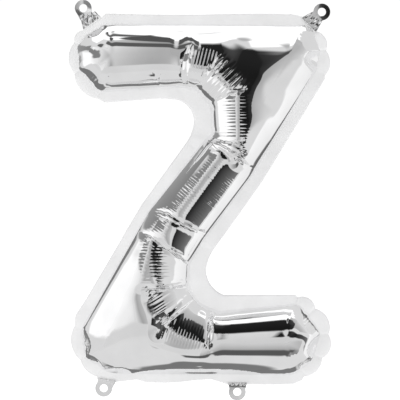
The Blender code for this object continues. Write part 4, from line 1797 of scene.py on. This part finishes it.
@dataclass(frozen=True)
class Card:
    """A curved card of the light tent round the letter, soft at its edges.

    Attributes:
        name: Name of the card.
        corners: Lower left, lower right, upper left and upper right corner, each as degrees to
            the right of the letter's front and degrees above the horizon.
        light: Light that it gives at these corners.
        feather: Width of its soft edge, in degrees across and up.
        radius: Distance from the middle of the letter, in metres.
    """

    name: str
    corners: tuple
    light: tuple
    feather: tuple
    radius: float

    # Middle of the letter, and the number of faces across and up a card.
    MIDDLE = Vector((0.0, 0.0, -0.184))
    FACES = (64, 48)

    @staticmethod
    def _between(values: Sequence, right: float, up: float) -> np.ndarray:
        """Blend four corner values straight.

        Args:
            values: Lower left, lower right, upper left and upper right value.
            right: Share of the way to the right.
            up: Share of the way up.

        Returns:
            The value at that place.
        """
        low_left, low_right, high_left, high_right = (np.array(value, float) for value in values)
        low = low_left + right * (low_right - low_left)
        return low + up * (high_left + right * (high_right - high_left) - low)

    def build(self) -> bpy.types.Object:
        """Build the card, which lights the foil and stays out of the picture.

        Returns:
            The new object.
        """
        low_left, low_right, high_left, high_right = np.array(self.corners)
        span = np.abs(low_right - low_left + high_right - high_left)[0] / 2.0
        rise = np.abs(high_left - low_left + high_right - low_right)[1] / 2.0
        work = bmesh.new()
        glow, cover = (work.verts.layers.float.new(label) for label in ("light", "cover"))
        bmesh.ops.create_grid(work, x_segments=self.FACES[0], y_segments=self.FACES[1], size=0.5)
        for vert in work.verts:
            right, up = vert.co.x + 0.5, vert.co.y + 0.5
            turn, lift = np.radians(self._between(self.corners, right, up))
            level = math.cos(lift)
            way = Vector((math.sin(turn) * level, -math.cos(turn) * level, math.sin(lift)))
            vert[glow] = float(self._between(self.light, right, up))
            inward = (min(right, 1.0 - right) * span, min(up, 1.0 - up) * rise)
            shares = (
                min(1.0, gap / width) if width else 1.0 for gap, width in zip(inward, self.feather)
            )
            vert[cover] = math.prod(share * share * (3.0 - 2.0 * share) for share in shares)
            vert.co = way * self.radius + self.MIDDLE
        card = new_object(self.name, work)
        dress(card, self._material())
        card.visible_camera = False
        card.visible_shadow = False
        card.visible_diffuse = False
        return card

    def _material(self) -> bpy.types.Material:
        """Build the card's glow, which fades out at its edges.

        Returns:
            The new material.
        """
        material = bpy.data.materials.new(self.name)
        material.use_nodes = True
        tree = material.node_tree
        tree.nodes.clear()
        light, cover = (
            add_node(tree, "ShaderNodeAttribute", {}, attribute_name=label).outputs["Fac"]
            for label in ("light", "cover")
        )
        shine = add_node(tree, "ShaderNodeEmission", {"Strength": light}).outputs["Emission"]
        clear = add_node(tree, "ShaderNodeBsdfTransparent", {}).outputs["BSDF"]
        fade = add_node(tree, "ShaderNodeMixShader", {"Fac": cover, 1: clear, 2: shine})
        add_node(tree, "ShaderNodeOutputMaterial", {"Surface": fade.outputs["Shader"]})
        return material


CARDS = (
    Card("ceiling", ((-180.0, 56.0), (180.0, 56.0), (-180.0, 90.0), (180.0, 90.0)),
         (1.25,) * 4, (0.0, 3.0), 0.46),
    Card("floor_glow", ((-180.0, -90.0), (180.0, -90.0), (-180.0, -34.0), (180.0, -34.0)),
         (0.77,) * 4, (0.0, 6.0), 0.46),
    Card("high_strip", ((-100.0, 68.0), (-28.0, 66.0), (-100.0, 76.0), (-28.0, 75.0)),
         (0.12,) * 4, (3.0, 3.0), 0.431),
    Card("corner_strip", ((-165.0, 46.0), (-116.0, 48.0), (-165.0, 60.0), (-112.0, 63.0)),
         (0.16,) * 4, (4.0, 3.0), 0.43),
    Card("high_wing", ((-31.0, 63.0), (-1.0, 46.0), (-31.0, 76.0), (-1.0, 63.0)),
         (0.09,) * 4, (2.0, 2.0), 0.43),
    Card("left_grey", ((-26.0, 48.0), (-1.0, 40.0), (-26.0, 68.0), (-1.0, 54.0)),
         (0.6, 0.25, 0.6, 0.2), (3.0, 2.0), 0.44),
    Card("low_wing", ((-30.0, 43.0), (-1.0, 30.0), (-30.0, 55.0), (-1.0, 47.0)),
         (0.12, 0.1, 0.12, 0.08), (3.0, 3.0), 0.435),
    Card("left_low", ((-44.0, -36.0), (2.0, -36.0), (-44.0, -12.0), (2.0, -12.0)),
         (0.72,) * 4, (3.0, 3.0), 0.444),
    Card("left_slope", ((-20.0, -16.0), (-7.0, -16.0), (-20.0, 40.0), (-7.0, 38.0)),
         (0.82, 0.38, 0.88, 0.44), (0.5, 4.0), 0.4425),
    Card("left_far", ((-48.0, -16.0), (-19.0, -16.0), (-48.0, 40.0), (-19.0, 40.0)),
         (1.1, 0.8, 1.1, 0.86), (5.0, 4.0), 0.4435),
    Card("left_wall", ((-8.0, -16.0), (3.0, -16.0), (-8.0, 36.0), (3.0, 36.0)),
         (0.4, 0.6, 0.45, 0.45), (1.0, 4.0), 0.441),
    Card("side_grey", ((-152.0, 12.0), (-60.0, 26.0), (-152.0, 37.0), (-60.0, 48.0)),
         (0.36, 0.24, 0.36, 0.24), (3.0, 4.0), 0.436),
    Card("side_stripe", ((-64.0, 19.0), (-19.0, 5.0), (-64.0, 39.0), (-19.0, 28.0)),
         (0.24,) * 4, (3.0, 4.0), 0.428),
    Card("left_rear_flag", ((-152.0, -54.0), (-113.0, -54.0), (-152.0, 16.0), (-118.0, 18.0)),
         (0.2,) * 4, (4.0, 5.0), 0.43),
    Card("white_patch", ((-105.0, -16.0), (-38.0, -16.0), (-112.0, 24.0), (-38.0, 24.0)),
         (1.15, 1.1, 1.15, 1.1), (10.0, 8.0), 0.444),
    Card("front_low", ((2.0, -34.0), (26.0, -34.0), (2.0, 4.0), (26.0, 4.0)),
         (0.65, 0.65, 0.75, 0.75), (2.0, 3.0), 0.43),
    Card("front_skirt", ((2.0, -54.0), (30.0, -54.0), (2.0, -28.0), (30.0, -28.0)),
         (0.2, 0.2, 0.65, 0.65), (3.0, 1.0), 0.428),
    Card("floor_flag", ((-14.0, -60.0), (34.0, -60.0), (-14.0, -46.0), (34.0, -46.0)),
         (0.1,) * 4, (4.0, 4.0), 0.3),
    Card("under_flag", ((-180.0, -90.0), (180.0, -90.0), (-180.0, -73.0), (180.0, -73.0)),
         (0.2,) * 4, (0.0, 3.0), 0.272),
    Card("under_left", ((-179.0, -79.0), (-95.0, -79.0), (-179.0, -44.0), (-95.0, -60.0)),
         (0.2,) * 4, (3.0, 4.0), 0.27),
    Card("under_right", ((95.0, -79.0), (179.0, -79.0), (95.0, -60.0), (179.0, -44.0)),
         (0.2,) * 4, (3.0, 4.0), 0.27),
    Card("camera_flag", ((-3.0, 7.0), (13.0, -2.0), (0.0, 58.0), (15.0, 59.0)),
         (0.008, 0.008, 0.02, 0.02), (1.5, 7.0), 0.42),
    Card("camera_wing", ((10.0, -3.0), (21.0, 7.0), (11.0, 59.0), (33.0, 45.0)),
         (0.008, 0.02, 0.02, 0.1), (1.5, 7.0), 0.422),
    Card("side_flag", ((19.0, 4.0), (62.0, 4.0), (27.0, 64.0), (62.0, 70.0)),
         (0.4, 0.75, 0.5, 0.55), (3.0, 6.0), 0.425),
    Card("slant_flag", ((10.0, -20.0), (60.0, -44.0), (10.0, 1.0), (60.0, -27.0)),
         (0.006, 0.2, 0.006, 0.2), (1.5, 3.0), 0.41),
    Card("right_wall", ((62.0, -50.0), (130.0, -50.0), (62.0, 10.0), (130.0, 10.0)),
         (1.0, 0.9, 1.05, 0.9), (6.0, 6.0), 0.435),
    Card("right_rear_flag", ((120.0, -50.0), (160.0, -50.0), (120.0, 22.0), (160.0, 22.0)),
         (0.15,) * 4, (6.0, 6.0), 0.43),
)


@dataclass
class Studio:
    """Plain pale floor, a tent of soft light cards and the camera, in metres.

    Attributes:
        floor_z: Height of the floor.
        floor_radius: Radius of the floor.
        floor_parts: Number of sides of the floor.
        floor_tone: Grey of the floor.
        floor_roughness: Roughness of the floor.
        floor_glow: Light that the floor gives, so that it stays pale.
        softbox_watts: Power of the soft lamp in front.
        softbox_size: Its width.
        softbox_place: Its place.
        softbox_tilt: Its tilt, in degrees from straight down.
        room_light: Light of the room.
        backdrop_light: Brightness of the room where the camera sees it.
        lens_length: Focal length, in millimetres.
        sensor_width: Width of the sensor, in millimetres.
        view_width: Width of the picture at the letter.
        view_middle: Middle of the picture, x and z.
        sight: How far the camera sees.
    """

    floor_z: float = -0.46
    floor_radius: float = 14.0
    floor_parts: int = 64
    floor_tone: float = 0.9
    floor_roughness: float = 0.9
    floor_glow: float = 0.6
    softbox_watts: float = 1.8
    softbox_size: float = 1.6
    softbox_place: tuple = (0.0, -1.6, 0.3)
    softbox_tilt: float = 73.0
    room_light: float = 0.75
    backdrop_light: float = 1.05
    lens_length: float = 200.0
    sensor_width: float = 36.0
    view_width: float = 0.4 * 0.9674
    view_middle: tuple = (-0.00247, -0.18371)
    sight: float = 60.0

    def build(self) -> None:
        """Make the floor, the cards, the lamp, the surrounding light and the camera."""
        self.floor()
        for card in CARDS:
            card.build()
        self.softbox()
        self.surround()
        self.camera()

    def floor(self) -> None:
        """Lay a wide pale floor that the foil does not mirror."""
        work = bmesh.new()
        bmesh.ops.create_circle(
            work, cap_ends=True, segments=self.floor_parts, radius=self.floor_radius
        )
        bmesh.ops.translate(work, vec=(0.0, 0.0, self.floor_z), verts=work.verts)
        floor = new_object("pale_floor", work, smooth=False)
        material = bpy.data.materials.new("pale_floor")
        material.use_nodes = True
        shader = material.node_tree.nodes["Principled BSDF"]
        shader.inputs["Base Color"].default_value = (*(self.floor_tone,) * 3, 1.0)
        shader.inputs["Roughness"].default_value = self.floor_roughness
        shader.inputs["Emission Color"].default_value = (1.0, 1.0, 1.0, 1.0)
        shader.inputs["Emission Strength"].default_value = self.floor_glow
        dress(floor, material)
        floor.visible_glossy = False

    def softbox(self) -> None:
        """Light the matt films from the front with a large soft lamp."""
        lamp = bpy.data.lights.new("front_softbox", "AREA")
        lamp.shape, lamp.size = "DISK", self.softbox_size
        lamp.energy = self.softbox_watts
        box = bpy.data.objects.new("front_softbox", lamp)
        box.location = self.softbox_place
        box.rotation_euler = (math.radians(self.softbox_tilt), 0.0, 0.0)
        box.visible_glossy = False
        bpy.context.collection.objects.link(box)

    def surround(self) -> None:
        """Light the room evenly and keep the picture's background white."""
        world = bpy.data.worlds.new("soft_room")
        bpy.context.scene.world = world
        world.use_nodes = True
        tree = world.node_tree
        shine = tree.nodes["Background"]
        shine.inputs["Color"].default_value = (1.0, 1.0, 1.0, 1.0)
        seen = add_node(tree, "ShaderNodeLightPath", {}).outputs["Is Camera Ray"]
        strength = {"Value": seen, "To Min": self.room_light, "To Max": self.backdrop_light}
        strength = add_node(tree, "ShaderNodeMapRange", strength)
        tree.links.new(strength.outputs["Result"], shine.inputs["Strength"])
        bpy.context.scene.view_settings.view_transform = "Standard"

    def camera(self) -> None:
        """Place a long lens straight in front of the letter."""
        lens = bpy.data.cameras.new("front_lens")
        lens.lens, lens.sensor_width = self.lens_length, self.sensor_width
        lens.clip_end = self.sight
        eye = bpy.data.objects.new("front_lens", lens)
        distance = self.view_width * lens.lens / lens.sensor_width
        eye.location = (self.view_middle[0], -distance, self.view_middle[1])
        eye.rotation_euler = (math.pi / 2.0, 0.0, 0.0)
        bpy.context.collection.objects.link(eye)
        bpy.context.scene.camera = eye


def hand_over(piece: bpy.types.Object, node: str) -> None:
    """Let a piece ride on the body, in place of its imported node.

    Args:
        piece: The dressed piece.
        node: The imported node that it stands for.
    """
    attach(piece, BODY)
    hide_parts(node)
    LOG.info("%s: %d vertices", piece.name, len(piece.data.vertices))


def main() -> None:
    """Build and dress every piece, and hang each on the body in place of its imported node."""
    logging.basicConfig(level=logging.INFO, format="%(message)s")
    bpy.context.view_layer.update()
    Studio().build()
    lattice = FilmLattice()
    foil, sealed = MIRROR_FOIL.material(), SEALED_FILM.material()
    tab, neck = TAB_FILM.material(), NECK_FILM.material()
    films = (
        BlownFilm("front_film", "front_panel", Side.FRONT, seed=11),
        BlownFilm("back_film", "back_panel", Side.BACK, seed=23),
    )
    for film in films:
        piece = film.build(lattice)
        dress(piece, foil)
        hand_over(piece, film.node)
        piece.visible_diffuse = False
    margin = SealedMargin()
    piece = margin.build(lattice)
    dress(piece, sealed)
    hand_over(piece, margin.node)
    for hang_tab in HANG_TABS:
        piece = hang_tab.build()
        dress(piece, tab)
        hand_over(piece, hang_tab.node)
    filling = InflationNeck()
    piece = filling.build()
    dress(piece, neck)
    hand_over(piece, filling.node)


if __name__ == "__main__":
    main()
